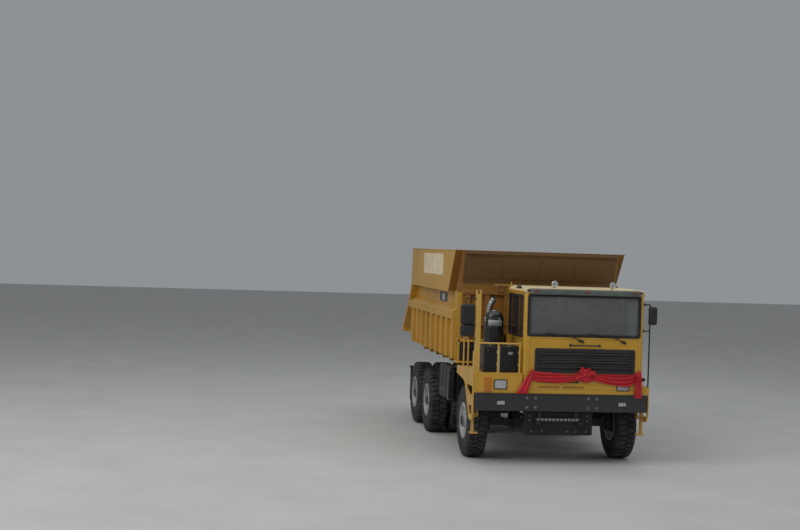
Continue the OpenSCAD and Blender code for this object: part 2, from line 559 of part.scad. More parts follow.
// Rim barrel, disc and hub round the X axis: disc is the X of the disc's outer
// face, cap the thickness of the closed end of the hub
module rim(x, y, disc, hub0, hub1, cap = 30) translate([0, y, tyre_r]) rotate([0, 90, 0]) difference() {
    union() {
        difference() {
            translate([0, 0, x - 176]) cylinder(r = bead_r - 0.5, h = 352);
            translate([0, 0, x - 180]) cylinder(r = bead_r - 20, h = 360);
        }
        for (s = [-1, 1]) difference() {
            translate([0, 0, x + s * 169 - 7]) cylinder(r = bead_r + 14, h = 14);
            translate([0, 0, x + s * 169 - 9]) cylinder(r = bead_r - 19, h = 18);
        }
        translate([0, 0, disc - 20]) cylinder(r = bead_r - 19, h = 20);
        translate([0, 0, hub0]) cylinder(r = 120, h = hub1 - hub0);
    }
    translate([0, 0, hub0 - 5]) cylinder(r = 60, h = hub1 - hub0 + 5 - cap);
    for (a = [0:36:324]) rotate([0, 0, a]) translate([215, 0, disc - 30]) cylinder(r = 30, h = 40);
}
module rim_front() rim(track_f, axle_f_y, 1520, 1340, 1600);
module rims_rear(y) {
    rim(track_ro, y, 1420, 1300, 1672);
    rim(track_ri, y, 1190, 900, 1301, -5);
}
module tyre_front_left() color(rubber) tyre(track_f, axle_f_y);
module tyre_front_right() color(rubber) tyre(-track_f, axle_f_y);
module rim_front_left() color(steel) rim_front();
module rim_front_right() color(steel) mirror([1, 0, 0]) rim_front();
module tyres_rear(y) for (x = [track_ri, track_ro]) tyre(x, y);
module tyres_rear1_left() color(rubber) tyres_rear(axle_r1_y);
module tyres_rear1_right() color(rubber) mirror([1, 0, 0]) tyres_rear(axle_r1_y);
module rims_rear1_left() color(steel) rims_rear(axle_r1_y);
module rims_rear1_right() color(steel) mirror([1, 0, 0]) rims_rear(axle_r1_y);
module tyres_rear2_left() color(rubber) tyres_rear(axle_r2_y);
module tyres_rear2_right() color(rubber) mirror([1, 0, 0]) tyres_rear(axle_r2_y);
module rims_rear2_left() color(steel) rims_rear(axle_r2_y);
module rims_rear2_right() color(steel) mirror([1, 0, 0]) rims_rear(axle_r2_y);

chassis_frame();
frame_brackets();
hoist_cradle();
front_bumper();
platform_right();
fender_left();
boarding_steps();
railing();
mirrors();
cab_floor();
cab_front();
cab_roof();
cab_rear_wall();
cab_side_right();
cab_side_left();
cab_glass();
grille();
sun_visor();
dashboard();
steering_wheel();
seats();
lamps();
cooler_boxes();
air_cleaner();
exhaust();
hydraulic_tank();
fuel_tanks();
engine_block();
driveline();
front_axle();
rear_axles();
leaf_springs();
ribbon();
door_left();
door_glass();
body_floor();
body_side_left();
body_side_right();
body_front_wall();
body_canopy();
hoist_barrel();
hoist_stage_1();
hoist_stage_2();
hoist_stage_3();
hoist_rod();
knuckle_left();
knuckle_right();
tyre_front_left();
tyre_front_right();
rim_front_left();
rim_front_right();
tyres_rear1_left();
tyres_rear1_right();
rims_rear1_left();
rims_rear1_right();
tyres_rear2_left();
tyres_rear2_right();
rims_rear2_left();
rims_rear2_right();
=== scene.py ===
import bpy
import bmesh
import math
from mathutils import Matrix, Vector


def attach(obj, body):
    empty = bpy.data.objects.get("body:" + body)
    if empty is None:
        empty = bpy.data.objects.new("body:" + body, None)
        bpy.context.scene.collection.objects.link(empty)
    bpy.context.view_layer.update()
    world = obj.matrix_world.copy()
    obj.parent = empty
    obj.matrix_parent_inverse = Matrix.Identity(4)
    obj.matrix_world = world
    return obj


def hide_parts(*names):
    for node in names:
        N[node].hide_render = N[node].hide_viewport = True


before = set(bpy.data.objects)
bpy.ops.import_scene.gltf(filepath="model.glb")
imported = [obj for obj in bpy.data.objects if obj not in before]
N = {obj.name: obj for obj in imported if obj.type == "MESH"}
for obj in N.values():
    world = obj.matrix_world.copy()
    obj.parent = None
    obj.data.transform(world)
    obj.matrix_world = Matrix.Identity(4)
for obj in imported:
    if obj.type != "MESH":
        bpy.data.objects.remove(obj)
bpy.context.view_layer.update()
scene = bpy.context.scene

# ---------------------------------------------------------------- camera
F_PX, CX, CY = 1450.0, 400.0, 265.0
CAM = Vector((-6.789, -29.78, 3.86))
YAW, PITCH, ROLL = 8.3625, -0.6768, 1.8
cam_data = bpy.data.cameras.new("camera")
cam_data.sensor_fit = "HORIZONTAL"
cam_data.sensor_width = 36.0
cam_data.lens = F_PX / 800.0 * 36.0
cam_data.clip_end = 400.0
cam = bpy.data.objects.new("camera", cam_data)
scene.collection.objects.link(cam)
yaw, pitch, roll = (math.radians(a) for a in (YAW, PITCH, ROLL))
fwd = Vector((math.sin(yaw) * math.cos(pitch), math.cos(yaw) * math.cos(pitch), math.sin(pitch)))
right = fwd.cross(Vector((0, 0, 1))).normalized()
up = right.cross(fwd).normalized()
# the picture's content is turned clockwise by ROLL, so the camera turns the other way
r2 = right * math.cos(roll) + up * math.sin(roll)
u2 = up * math.cos(roll) - right * math.sin(roll)
cam.matrix_world = Matrix((
    (r2.x, u2.x, -fwd.x, CAM.x),
    (r2.y, u2.y, -fwd.y, CAM.y),
    (r2.z, u2.z, -fwd.z, CAM.z),
    (0, 0, 0, 1)))
scene.camera = cam


# ---------------------------------------------------------------- materials
class Nodes:
    """A small helper round one material's node tree."""

    def __init__(self, name):
        self.mat = bpy.data.materials.new(name)
        self.mat.use_nodes = True
        self.nt = self.mat.node_tree
        self.bsdf = next(n for n in self.nt.nodes if n.type == "BSDF_PRINCIPLED")
        self.co = self.node("ShaderNodeTexCoord").outputs["Object"]

    def node(self, kind, **props):
        n = self.nt.nodes.new(kind)
        for k, v in props.items():
            setattr(n, k, v)
        return n

    def link(self, a, b):
        self.nt.links.new(a, b)

    def mapped(self, scale):
        n = self.node("ShaderNodeMapping")
        self.link(self.co, n.inputs["Vector"])
        n.inputs["Scale"].default_value = scale
        return n.outputs["Vector"]

    def noise(self, scale, detail=4.0, rough=0.55, stretch=None):
        n = self.node("ShaderNodeTexNoise")
        self.link(self.mapped(stretch) if stretch else self.co, n.inputs["Vector"])
        n.inputs["Scale"].default_value = scale
        n.inputs["Detail"].default_value = detail
        n.inputs["Roughness"].default_value = rough
        return n.outputs["Fac"]

    def voronoi(self, scale, feature="F1", stretch=None):
        n = self.node("ShaderNodeTexVoronoi", feature=feature)
        self.link(self.mapped(stretch) if stretch else self.co, n.inputs["Vector"])
        n.inputs["Scale"].default_value = scale
        return n.outputs["Distance"]

    def wave(self, scale, direction="Z", distort=0.0, profile="SIN"):
        n = self.node("ShaderNodeTexWave", bands_direction=direction, wave_profile=profile)
        self.link(self.co, n.inputs["Vector"])
        n.inputs["Scale"].default_value = scale
        n.inputs["Distortion"].default_value = distort
        return n.outputs["Fac"]

    def ramp(self, fac, stops, interpolation="LINEAR"):
        n = self.node("ShaderNodeValToRGB")
        n.color_ramp.interpolation = interpolation
        e = n.color_ramp.elements
        while len(e) > 1:
            e.remove(e[-1])
        e[0].position, e[0].color = stops[0][0], self.rgba(stops[0][1])
        for p, c in stops[1:]:
            x = e.new(p)
            x.color = self.rgba(c)
        self.link(fac, n.inputs["Fac"])
        return n.outputs["Color"]

    @staticmethod
    def rgba(c):
        if isinstance(c, (int, float)):
            return (c, c, c, 1)
        return (*c, 1) if len(c) == 3 else c

    def mix(self, fac, a, b, mode="MIX"):
        n = self.node("ShaderNodeMix", data_type="RGBA", blend_type=mode)
        for socket, value in ((n.inputs[0], fac), (n.inputs[6], a), (n.inputs[7], b)):
            if isinstance(value, bpy.types.NodeSocket):
                self.link(value, socket)
            else:
                socket.default_value = value if socket is n.inputs[0] else self.rgba(value)
        return n.outputs[2]

    def math(self, op, a, b=0.0, clamp=False):
        n = self.node("ShaderNodeMath", operation=op, use_clamp=clamp)
        for socket, value in ((n.inputs[0], a), (n.inputs[1], b)):
            if isinstance(value, bpy.types.NodeSocket):
                self.link(value, socket)
            else:
                socket.default_value = value
        return n.outputs[0]

    def span(self, value, lo, hi, to0=0.0, to1=1.0):
        n = self.node("ShaderNodeMapRange")
        self.link(value, n.inputs["Value"])
        for k, v in (("From Min", lo), ("From Max", hi), ("To Min", to0), ("To Max", to1)):
            n.inputs[k].default_value = v
        return n.outputs["Result"]

    def normal_z(self):
        g = self.node("ShaderNodeNewGeometry")
        s = self.node("ShaderNodeSeparateXYZ")
        self.link(g.outputs["Normal"], s.inputs[0])
        return s.outputs["Z"]

    def xyz(self):
        s = self.node("ShaderNodeSeparateXYZ")
        self.link(self.co, s.inputs[0])
        return s.outputs

    def inside(self, axis, lo, hi):
        """1 between lo and hi along an object axis."""
        c = self.xyz()[axis]
        return self.math("MULTIPLY", self.math("GREATER_THAN", c, lo), self.math("LESS_THAN", c, hi))

    def bump(self, height, strength, distance=0.01):
        n = self.node("ShaderNodeBump")
        n.inputs["Strength"].default_value = strength
        n.inputs["Distance"].default_value = distance
        self.link(height, n.inputs["Height"])
        last = self.bsdf.inputs["Normal"]
        if last.is_linked:
            self.link(last.links[0].from_socket, n.inputs["Normal"])
        self.link(n.outputs["Normal"], last)

    def set(self, **values):
        for k, v in values.items():
            s = self.bsdf.inputs[k.replace("_", " ")]
            if isinstance(v, bpy.types.NodeSocket):
                self.link(v, s)
            else:
                s.default_value = v
        return self


DUST = (0.47, 0.40, 0.29)


def paint(name, base, dark=None, light=None, rough=(0.34, 0.5), dust=0.25, low_dust=0.35, coat=0.25, streak=0.12, lined=False, prow_shade=None, front=None):
    """Sprayed industrial paint: cloudy tone, rain streaks, dust on top faces and low down, faint orange peel."""
    m = Nodes(name)
    dark = dark or tuple(c * 0.86 for c in base)
    light = light or tuple(min(1, c * 1.10) for c in base)
    tone = m.ramp(m.noise(0.9, 5.0, 0.6), [(0.30, dark), (0.52, base), (0.74, light)])
    streaks = m.ramp(m.noise(3.0, 6.0, 0.62, stretch=(3.2, 3.2, 0.22)), [(0.46, 0.0), (0.72, 1.0)])
    tone = m.mix(m.math("MULTIPLY", streaks, streak), tone, tuple(c * 0.62 for c in base))
    fine = m.noise(23.0, 3.0, 0.6)
    top = m.span(m.normal_z(), 0.35, 0.95)
    low = m.span(m.xyz()[2], 1.5, 0.35)
    cloud = m.ramp(m.noise(4.5, 6.0, 0.68), [(0.35, 0.15), (0.65, 1.0)])
    mask = m.math("ADD", m.math("MULTIPLY", top, dust), m.math("MULTIPLY", low, low_dust))
    mask = m.math("MULTIPLY", m.math("MULTIPLY", mask, cloud), m.span(fine, 0.3, 0.7, 0.75, 1.1), clamp=True)
    colour = m.mix(mask, tone, DUST)
    if prow_shade:
        # painted shade: the raking front edge over the body's shoulders is coloured dark brown, as if in shadow
        p = m.xyz()
        ahead = m.math("LESS_THAN", m.math("ADD", p[1], m.math("MULTIPLY", p[2], 0.858)), 0.970)
        outer = m.math("GREATER_THAN", m.math("ABSOLUTE", p[0]), 1.512)
        colour = m.mix(m.math("MULTIPLY", ahead, m.math("MULTIPLY", outer, m.math("GREATER_THAN", p[2], 3.045))), colour, prow_shade)
    if front:
        # painted shade: the leaning guard's front face, which never sees the sky, is coloured a darker brown
        p = m.xyz()
        colour = m.mix(m.math("LESS_THAN", m.math("ADD", p[1], m.math("MULTIPLY", p[2], 0.3226)), -1.195), colour, front)
    if lined:
        # faces inside the cab show its lining
        room = m.math("MULTIPLY", m.inside(0, -0.690, 1.470), m.math("MULTIPLY", m.inside(1, -4.195, -2.895), m.inside(2, 1.70, 3.175)))
        colour = m.mix(room, colour, m.ramp(m.noise(4.0, 4.0), [(0.3, (0.16, 0.155, 0.14)), (0.7, (0.21, 0.20, 0.18))]))
    m.set(Base_Color=colour,
          Roughness=m.math("ADD", m.span(m.noise(6.0, 4.0), 0.3, 0.7, rough[0], rough[1]), m.math("MULTIPLY", mask, 0.35), clamp=True))
    m.bsdf.inputs["Coat Weight"].default_value = coat
    m.bsdf.inputs["Coat Roughness"].default_value = 0.18
    m.bump(m.noise(160.0, 2.0), 0.05, 0.002)
    m.bump(m.noise(2.2, 2.0), 0.10, 0.01)
    return m


M = {}
YELLOW = (0.60, 0.325, 0.026)
M["yellow"] = paint("yellow_paint", YELLOW, dust=0.30).mat
M["shell"] = paint("cab_paint", YELLOW, dust=0.30, lined=True).mat
M["body_yellow"] = paint("body_paint", (0.53, 0.285, 0.030), dust=0.36, low_dust=0.2, rough=(0.4, 0.56), coat=0.12, streak=0.2).mat
# the side panels' front corner, by the guard, gets a dark brown painted shade
M["body_side"] = paint("body_side_paint", (0.53, 0.285, 0.030), dust=0.36, low_dust=0.2, rough=(0.4, 0.56), coat=0.12, streak=0.2,
                      prow_shade=(0.27, 0.120, 0.016)).mat
# the guard's dark brown is painted shade: the body's yellow darkened as if always in shadow, its front face darker
# still
M["canopy"] = paint("guard_paint_and_shade", (0.30, 0.135, 0.018), dust=0.22, low_dust=0.15, rough=(0.42, 0.58), coat=0.1, streak=0.25, front=(0.150, 0.074, 0.020)).mat
# the front wall's dark orange is painted shade: the body's yellow darkened as if in shadow; this material is also used
# on some small pressings and bolts
M["body_orange"] = paint("front_wall_paint_and_shade", (0.275, 0.120, 0.015), dust=0.22, low_dust=0.15, rough=(0.42, 0.58), coat=0.1, streak=0.25).mat
M["charcoal"] = paint("charcoal_paint", (0.021, 0.022, 0.024), dust=0.10, low_dust=0.05, rough=(0.36, 0.5), coat=0.2).mat
M["black"] = paint("black_paint", (0.012, 0.012, 0.014), dust=0.10, low_dust=0.14, rough=(0.28, 0.42), coat=0.3).mat
M["frame"] = paint("frame_paint", (0.010, 0.0105, 0.012), dust=0.12, low_dust=0.05, rough=(0.5, 0.68), coat=0.0).mat
M["rail"] = paint("rail_paint", (0.62, 0.37, 0.07), dust=0.1, low_dust=0.1, rough=(0.3, 0.42)).mat
M["grille_paint"] = paint("grille_paint", (0.022, 0.021, 0.021), dust=0.06, low_dust=0.03, rough=(0.35, 0.5), coat=0.2).mat
M["grille_edge"] = paint("grille_edge_paint", (0.105, 0.092, 0.070), dust=0.05, low_dust=0.05, rough=(0.35, 0.5), coat=0.1).mat
M["orange"] = paint("orange_paint", (0.58, 0.175, 0.012), dust=0.1, low_dust=0.1, rough=(0.3, 0.45)).mat
M["rim"] = paint("rim_paint", (0.36, 0.37, 0.39), dust=0.1, low_dust=0.22, rough=(0.25, 0.4), coat=0.3).mat
# near-black tanks, darker than the black paint: partly their own dark paint, partly painted shade under the body
M["dark_tank"] = paint("dark_tank_paint", (0.007, 0.0075, 0.009), dust=0.08, low_dust=0.06, rough=(0.55, 0.7), coat=0.0).mat
# near-black, darker than the frame: dark joints in the seams and holes, and on the low plate under the bumper partly
# painted shade
M["crossmember"] = paint("crossmember_paint", (0.0045, 0.0045, 0.005), dust=0.05, low_dust=0.015, rough=(0.55, 0.7), coat=0.0).mat
M["tank"] = paint("tank_paint", (0.045, 0.046, 0.050), dust=0.1, low_dust=0.1, rough=(0.35, 0.5), coat=0.1).mat
# the roof's pale cream is painted highlight: the light falling on its top, put into the colour
M["roof"] = paint("roof_paint_and_highlight", (0.84, 0.71, 0.40), dust=0.25, low_dust=0.1, rough=(0.35, 0.48)).mat


def cast(name, base, rough=(0.6, 0.8)):
    m = Nodes(name)
    tone = m.ramp(m.noise(5.0, 8.0, 0.7), [(0.3, tuple(c * 0.7 for c in base)), (0.7, tuple(c * 1.3 for c in base))])
    low = m.span(m.xyz()[2], 1.2, 0.4)
    mask = m.math("MULTIPLY", low, m.ramp(m.noise(3.0, 6.0, 0.7), [(0.35, 0.02), (0.7, 0.16)]), clamp=True)
    m.set(Base_Color=m.mix(mask, tone, DUST), Metallic=0.25,
          Roughness=m.span(m.noise(9.0, 5.0), 0.3, 0.7, *rough))
    m.bump(m.noise(120.0, 4.0, 0.7), 0.35, 0.003)
    return m.mat


M["dull_bolt"] = cast("dull_bolt_steel", (0.17, 0.17, 0.18), (0.4, 0.6))
M["cast"] = cast("cast_iron", (0.024, 0.024, 0.027))
M["spring"] = cast("spring_steel", (0.035, 0.036, 0.04), (0.5, 0.7))


def metal(name, base, rough, brushed=None, bump=0.08):
    m = Nodes(name)
    n = m.noise(14.0, 5.0, 0.6, stretch=brushed or (1, 1, 1))
    m.set(Base_Color=m.ramp(n, [(0.25, tuple(c * 0.86 for c in base)), (0.75, base)]), Metallic=1.0,
          Roughness=m.span(m.noise(40.0, 4.0, 0.6, stretch=brushed or (1, 1, 1)), 0.3, 0.7, rough * 0.75, rough * 1.3))
    m.bump(n, bump, 0.001)
    return m.mat


M["steel"] = metal("turned_steel", (0.62, 0.63, 0.64), 0.26, (12, 12, 0.6))
M["zinc"] = metal("zinc_plate", (0.66, 0.66, 0.64), 0.34)
M["chrome"] = metal("chrome", (0.86, 0.87, 0.88), 0.06, bump=0.01)
M["hot_steel"] = metal("exhaust_steel", (0.62, 0.62, 0.61), 0.30, (6, 6, 1))
M["mirror"] = metal("mirror_face", (0.88, 0.90, 0.91), 0.02, bump=0.0)


def rubber(name, base, rough=(0.72, 0.9), dust=0.35, fine=90.0):
    m = Nodes(name)
    tone = m.ramp(m.noise(3.0, 6.0, 0.62), [(0.3, tuple(c * 0.75 for c in base)), (0.7, tuple(c * 1.25 for c in base))])
    mask = m.math("MULTIPLY", m.ramp(m.noise(7.0, 7.0, 0.7), [(0.42, 0.0), (0.72, 1.0)]), dust, clamp=True)
    m.set(Base_Color=m.mix(mask, tone, (0.20, 0.18, 0.155)), Roughness=m.span(m.noise(12.0, 4.0), 0.3, 0.7, *rough))
    m.bump(m.noise(fine, 3.0, 0.6), 0.18, 0.002)
    return m.mat


M["tyre"] = rubber("tyre_rubber", (0.016, 0.0165, 0.018), dust=0.22)
M["tread"] = rubber("tread_rubber", (0.013, 0.0135, 0.015), dust=0.38)
M["seal"] = rubber("seal_rubber", (0.010, 0.010, 0.011), (0.5, 0.68), dust=0.08, fine=240.0)
M["hose"] = rubber("hose_rubber", (0.014, 0.014, 0.015), (0.45, 0.6), dust=0.15, fine=300.0)


def plastic(name, base, rough=(0.5, 0.64), grain=420.0, strength=0.25):
    m = Nodes(name)
    tone = m.ramp(m.noise(4.0, 4.0), [(0.3, tuple(c * 0.85 for c in base)), (0.7, tuple(c * 1.12 for c in base))])
    m.set(Base_Color=tone, Roughness=m.span(m.noise(18.0, 3.0), 0.3, 0.7, *rough))
    m.bump(m.voronoi(grain), strength, 0.0008)
    return m.mat


M["plastic"] = plastic("black_plastic", (0.014, 0.014, 0.015))
M["plastic_grey"] = plastic("visor_plastic", (0.10, 0.115, 0.105), (0.35, 0.5), 200.0, 0.05)
M["dash"] = plastic("dash_plastic", (0.045, 0.048, 0.052), (0.55, 0.7))
M["liner"] = plastic("cab_liner", (0.30, 0.29, 0.26), (0.6, 0.75), 300.0, 0.2)
M["label"] = plastic("blank_label", (0.36, 0.385, 0.375), (0.4, 0.5), 500.0, 0.02)
M["dark_label"] = plastic("dark_label", (0.03, 0.033, 0.04), (0.4, 0.5), 500.0, 0.02)
M["pale_plate"] = plastic("pale_plate", (0.80, 0.66, 0.44), (0.42, 0.55), 300.0, 0.02)


def lens(name, base, rough=0.12, ribs=None, trans=0.75):
    m = Nodes(name)
    tone = m.ramp(m.noise(9.0, 3.0), [(0.3, tuple(c * 0.9 for c in base)), (0.7, base)])
    m.set(Base_Color=tone, Roughness=m.span(m.noise(20.0, 2.0), 0.3, 0.7, rough * 0.7, rough * 1.3))
    m.bsdf.inputs["Transmission Weight"].default_value = trans
    m.bsdf.inputs["IOR"].default_value = 1.46
    if ribs:
        m.bump(m.wave(ribs, "X"), 0.5, 0.003)
    return m.mat


M["lens"] = lens("clear_lens", (0.93, 0.94, 0.95), 0.08, 26.0, 0.62)
M["lens_red"] = lens("red_lens", (0.45, 0.012, 0.01), 0.15, 40.0, 0.25)
M["marker"] = lens("marker_lens", (0.30, 0.05, 0.03), 0.2, None, 0.1)
M["lens_amber"] = lens("amber_lens", (0.80, 0.22, 0.01), 0.15, 40.0, 0.3)


def glass(name, tint, rough=0.015, clear=1.0, aft=None):
    """Pane with its own tint; aft = (y, tint, clear) of the panes behind the plane y."""
    m = Nodes(name)
    tone = m.ramp(m.noise(1.5, 3.0), [(0.3, tint), (0.7, tuple(min(1, c * 1.04) for c in tint))])
    m.bsdf.inputs["Transmission Weight"].default_value = clear
    if aft:
        behind = m.math("GREATER_THAN", m.xyz()[1], aft[0])
        tone = m.mix(behind, tone, aft[1])
        m.set(Transmission_Weight=m.span(behind, 0.0, 1.0, clear, aft[2]))
    m.set(Base_Color=tone, Roughness=m.span(m.noise(3.0, 5.0, 0.7), 0.4, 0.75, rough, rough * 4))
    m.bsdf.inputs["IOR"].default_value = 1.50
    return m.mat


# the windscreen's light grey, partly opaque glass is painted reflection; the panes behind y -4.15 have a dark green
# tint
M["glass"] = glass("windscreen_glass", (0.60, 0.61, 0.62), 0.012, 0.86, aft=(-4.15, (0.30, 0.345, 0.33), 0.94))
M["side_glass"] = glass("side_glass", (0.30, 0.345, 0.33), 0.015, 0.94)


def fabric(name, base, scale=520.0, sheen=0.4, rough=0.85, strength=0.3):
    m = Nodes(name)
    tone = m.ramp(m.noise(5.0, 6.0, 0.6), [(0.3, tuple(c * 0.78 for c in base)), (0.7, tuple(min(1, c * 1.12) for c in base))])
    weave = m.math("ADD", m.wave(scale, "DIAGONAL"), m.wave(scale, "Z"))
    m.set(Base_Color=m.mix(m.span(weave, 0.3, 1.6, 0.0, 0.35), tone, tuple(c * 0.6 for c in base)),
          Roughness=m.span(m.noise(30.0, 3.0), 0.3, 0.7, rough - 0.08, rough + 0.06))
    m.bsdf.inputs["Sheen Weight"].default_value = sheen
    m.bsdf.inputs["Sheen Roughness"].default_value = 0.4
    m.bump(weave, strength, 0.0008)
    return m.mat


M["seat"] = fabric("seat_fabric", (0.075, 0.078, 0.088), 380.0)
M["seat_side"] = fabric("seat_side_fabric", (0.022, 0.022, 0.025), 380.0)
M["ribbon"] = fabric("ribbon_cloth", (0.56, 0.003, 0.014), 700.0, 0.25, 0.55, 0.12)


# ---------------------------------------------------------------- mesh helpers
class Geo:
    """Collects many small shapes, each a closed shell, into one mesh."""

    def __init__(self):
        self.v, self.f, self.mi, self.sm = [], [], [], []

    def add(self, vs, fs, m=0, smooth=False):
        o = len(self.v)
        self.v += [tuple(p) for p in vs]
        for k, f in enumerate(fs):
            self.f.append([o + i for i in f])
            self.mi.append(m)
            self.sm.append(smooth if isinstance(smooth, bool) else smooth[k])

    def box(self, a, b, m=0, c=0.004, turn=None):
        """A box between two corners with chamfered edges. turn = (matrix) about its middle."""
        a, b = [min(p, q) for p, q in zip(a, b)], [max(p, q) for p, q in zip(a, b)]
        c = min(c, *[(q - p) * 0.3 for p, q in zip(a, b)])
        mid = Vector([(p + q) / 2 for p, q in zip(a, b)])
        h = [(q - p) / 2 for p, q in zip(a, b)]
        vs, index = [], {}
        for sx in (-1, 1):
            for sy in (-1, 1):
                for sz in (-1, 1):
                    s = (sx, sy, sz)
                    for ax in range(3):
                        p = Vector([s[i] * (h[i] - (0 if i == ax else c)) for i in range(3)])
                        index[s, ax] = len(vs)
                        vs.append(mid + (turn @ p if turn else p))
        fs, sm = [], []
        for ax in range(3):
            o1, o2 = [i for i in range(3) if i != ax]
            for s in (-1, 1):
                q = []
                for t1, t2 in ((-1, -1), (1, -1), (1, 1), (-1, 1)):
                    k = [0, 0, 0]
                    k[ax], k[o1], k[o2] = s, t1, t2
                    q.append(index[tuple(k), ax])
                fs.append(q)
                sm.append(False)
        for ax in range(3):
            o1, o2 = [i for i in range(3) if i != ax]
            for t1 in (-1, 1):
                for t2 in (-1, 1):
                    lo, hi = [0, 0, 0], [0, 0, 0]
                    lo[ax], lo[o1], lo[o2] = -1, t1, t2
                    hi[ax], hi[o1], hi[o2] = 1, t1, t2
                    fs.append([index[tuple(lo), o1], index[tuple(hi), o1], index[tuple(hi), o2], index[tuple(lo), o2]])
                    sm.append(True)
        for sx in (-1, 1):
            for sy in (-1, 1):
                for sz in (-1, 1):
                    s = (sx, sy, sz)
                    fs.append([index[s, 0], index[s, 1], index[s, 2]])
                    sm.append(True)
        self.add(vs, fs, m, sm)

    def lathe(self, prof, at, axis, n=32, m=0, smooth=True, start=0.0, mats=None):
        """A closed profile of (radius, distance along axis) turned about the axis."""
        ax = Vector(axis).normalized()
        u = ax.orthogonal().normalized()
        w = ax.cross(u)
        at = Vector(at)
        vs, rows = [], []
        for r, d in prof:
            if r < 1e-6:
                rows.append([len(vs)] * n)
                vs.append(at + ax * d)
            else:
                rows.append(list(range(len(vs), len(vs) + n)))
                for k in range(n):
                    t = start + 2 * math.pi * k / n
                    vs.append(at + ax * d + (u * math.cos(t) + w * math.sin(t)) * r)
        fs, sm, mi = [], [], []
        for i in range(len(rows) - 1):
            for k in range(n):
                q = [rows[i][k], rows[i][(k + 1) % n], rows[i + 1][(k + 1) % n], rows[i + 1][k]]
                q = [x for j, x in enumerate(q) if x not in q[:j]]
                if len(q) > 2:
                    fs.append(q)
                    sm.append(smooth if isinstance(smooth, bool) else smooth[i])
                    mi.append(mats[i] if mats else m)
        o = len(self.v)
        self.v += [tuple(p) for p in vs]
        for f, s, k in zip(fs, sm, mi):
            self.f.append([o + i for i in f])
            self.mi.append(k)
            self.sm.append(s)

    def cyl(self, p0, p1, r, m=0, n=20, c=0.003, r1=None):
        p0, p1 = Vector(p0), Vector(p1)
        L = (p1 - p0).length
        r1 = r if r1 is None else r1
        c = min(c, r * 0.3, L * 0.3)
        self.lathe([(0, 0), (r - c, 0), (r, c), (r1, L - c), (r1 - c, L), (0, L)], p0, p1 - p0, n, m,
                   [False, True, True, True, False])

    def ring(self, at, axis, r, t, m=0, n=40, k=8):
        """A torus of radius r and tube radius t."""
        prof = [(r + t * math.cos(2 * math.pi * i / k), t * math.sin(2 * math.pi * i / k)) for i in range(k + 1)]
        self.lathe(prof, at, axis, n, m, True)
        # the profile's last row doubles the first; merged when the object is made

    def tube(self, pts, r, m=0, n=10, closed=False, r_end=None):
        """A round tube along points, with closed ends."""
        pts = [Vector(p) for p in pts]
        L = len(pts)
        vs, fs = [], []
        prev = None
        for i, p in enumerate(pts):
            a = pts[(i - 1) % L] if (closed or i) else p
            b = pts[(i + 1) % L] if (closed or i < L - 1) else p
            t = (b - a).normalized()
            if prev is None:
                u = t.orthogonal().normalized()
            else:
                u = (prev - t * prev.dot(t)).normalized()
            prev = u
            w = t.cross(u)
            rr = r if r_end is None else r + (r_end - r) * i / (L - 1)
            for k in range(n):
                q = 2 * math.pi * k / n
                vs.append(p + (u * math.cos(q) + w * math.sin(q)) * rr)
        for i in range(L if closed else L - 1):
            j = (i + 1) % L
            for k in range(n):
                fs.append([i * n + k, i * n + (k + 1) % n, j * n + (k + 1) % n, j * n + k])
        sm = [True] * len(fs)
        if not closed:
            fs.append(list(range(n))[::-1])
            fs.append([(L - 1) * n + k for k in range(n)])
            sm += [False, False]
        self.add(vs, fs, m, sm)

    def prism(self, P, outline, d0, d1, m=0, smooth=False):
        """An outline of (u, v) in the plane P, from depth d0 to d1."""
        n = len(outline)
        vs = [P(u, v, d0) for u, v in outline] + [P(u, v, d1) for u, v in outline]
        fs = [list(range(n))[::-1], list(range(n, 2 * n))] + [[k, (k + 1) % n, n + (k + 1) % n, n + k] for k in range(n)]
        self.add(vs, fs, m, [False, False] + [smooth] * n)

    def slab(self, P, a, b, d0, d1, m=0, r=0.01, c=0.003, k=4):
        """A rounded rectangle from (u, v) a to b, standing from d0 to d1, its outer edge chamfered."""
        o = rrect(a, b, r, k)
        i = rrect((a[0] + c, a[1] + c), (b[0] - c, b[1] - c), max(r - c, 0.0005), k)
        s = 1 if d1 > d0 else -1
        n = len(o)
        vs = [P(u, v, d0) for u, v in o] + [P(u, v, d1 - s * c) for u, v in o] + [P(u, v, d1) for u, v in i]
        fs = [list(range(n))[::-1], list(range(2 * n, 3 * n))]
        sm = [False, False]
        for row in (0, 1):
            for q in range(n):
                fs.append([row * n + q, row * n + (q + 1) % n, (row + 1) * n + (q + 1) % n, (row + 1) * n + q])
                sm.append(True)
        self.add(vs, fs, m, sm)

    def surround(self, P, a, b, width, d0, d1, m=0, r=0.02, c=0.003, k=6, inner_r=None):
        """A rounded rectangular ring between (a, b) and the same rectangle inset by width."""
        ir = max(r - width, 0.004) if inner_r is None else inner_r
        s = 1 if d1 > d0 else -1
        loops = [
            (rrect(a, b, r, k), d0),
            (rrect(a, b, r, k), d1 - s * c),
            (rrect((a[0] + c, a[1] + c), (b[0] - c, b[1] - c), max(r - c, 0.001), k), d1),
            (rrect((a[0] + width - c, a[1] + width - c), (b[0] - width + c, b[1] - width + c), ir + c, k), d1),
            (rrect((a[0] + width, a[1] + width), (b[0] - width, b[1] - width), ir, k), d1 - s * c),
            (rrect((a[0] + width, a[1] + width), (b[0] - width, b[1] - width), ir, k), d0)]
        n = len(loops[0][0])
        vs = [P(u, v, d) for loop, d in loops for u, v in loop]
        fs, sm = [], []
        for i in range(len(loops)):
            j = (i + 1) % len(loops)
            for q in range(n):
                fs.append([i * n + q, i * n + (q + 1) % n, j * n + (q + 1) % n, j * n + q])
                sm.append(i in (1, 3))
        self.add(vs, fs, m, sm)

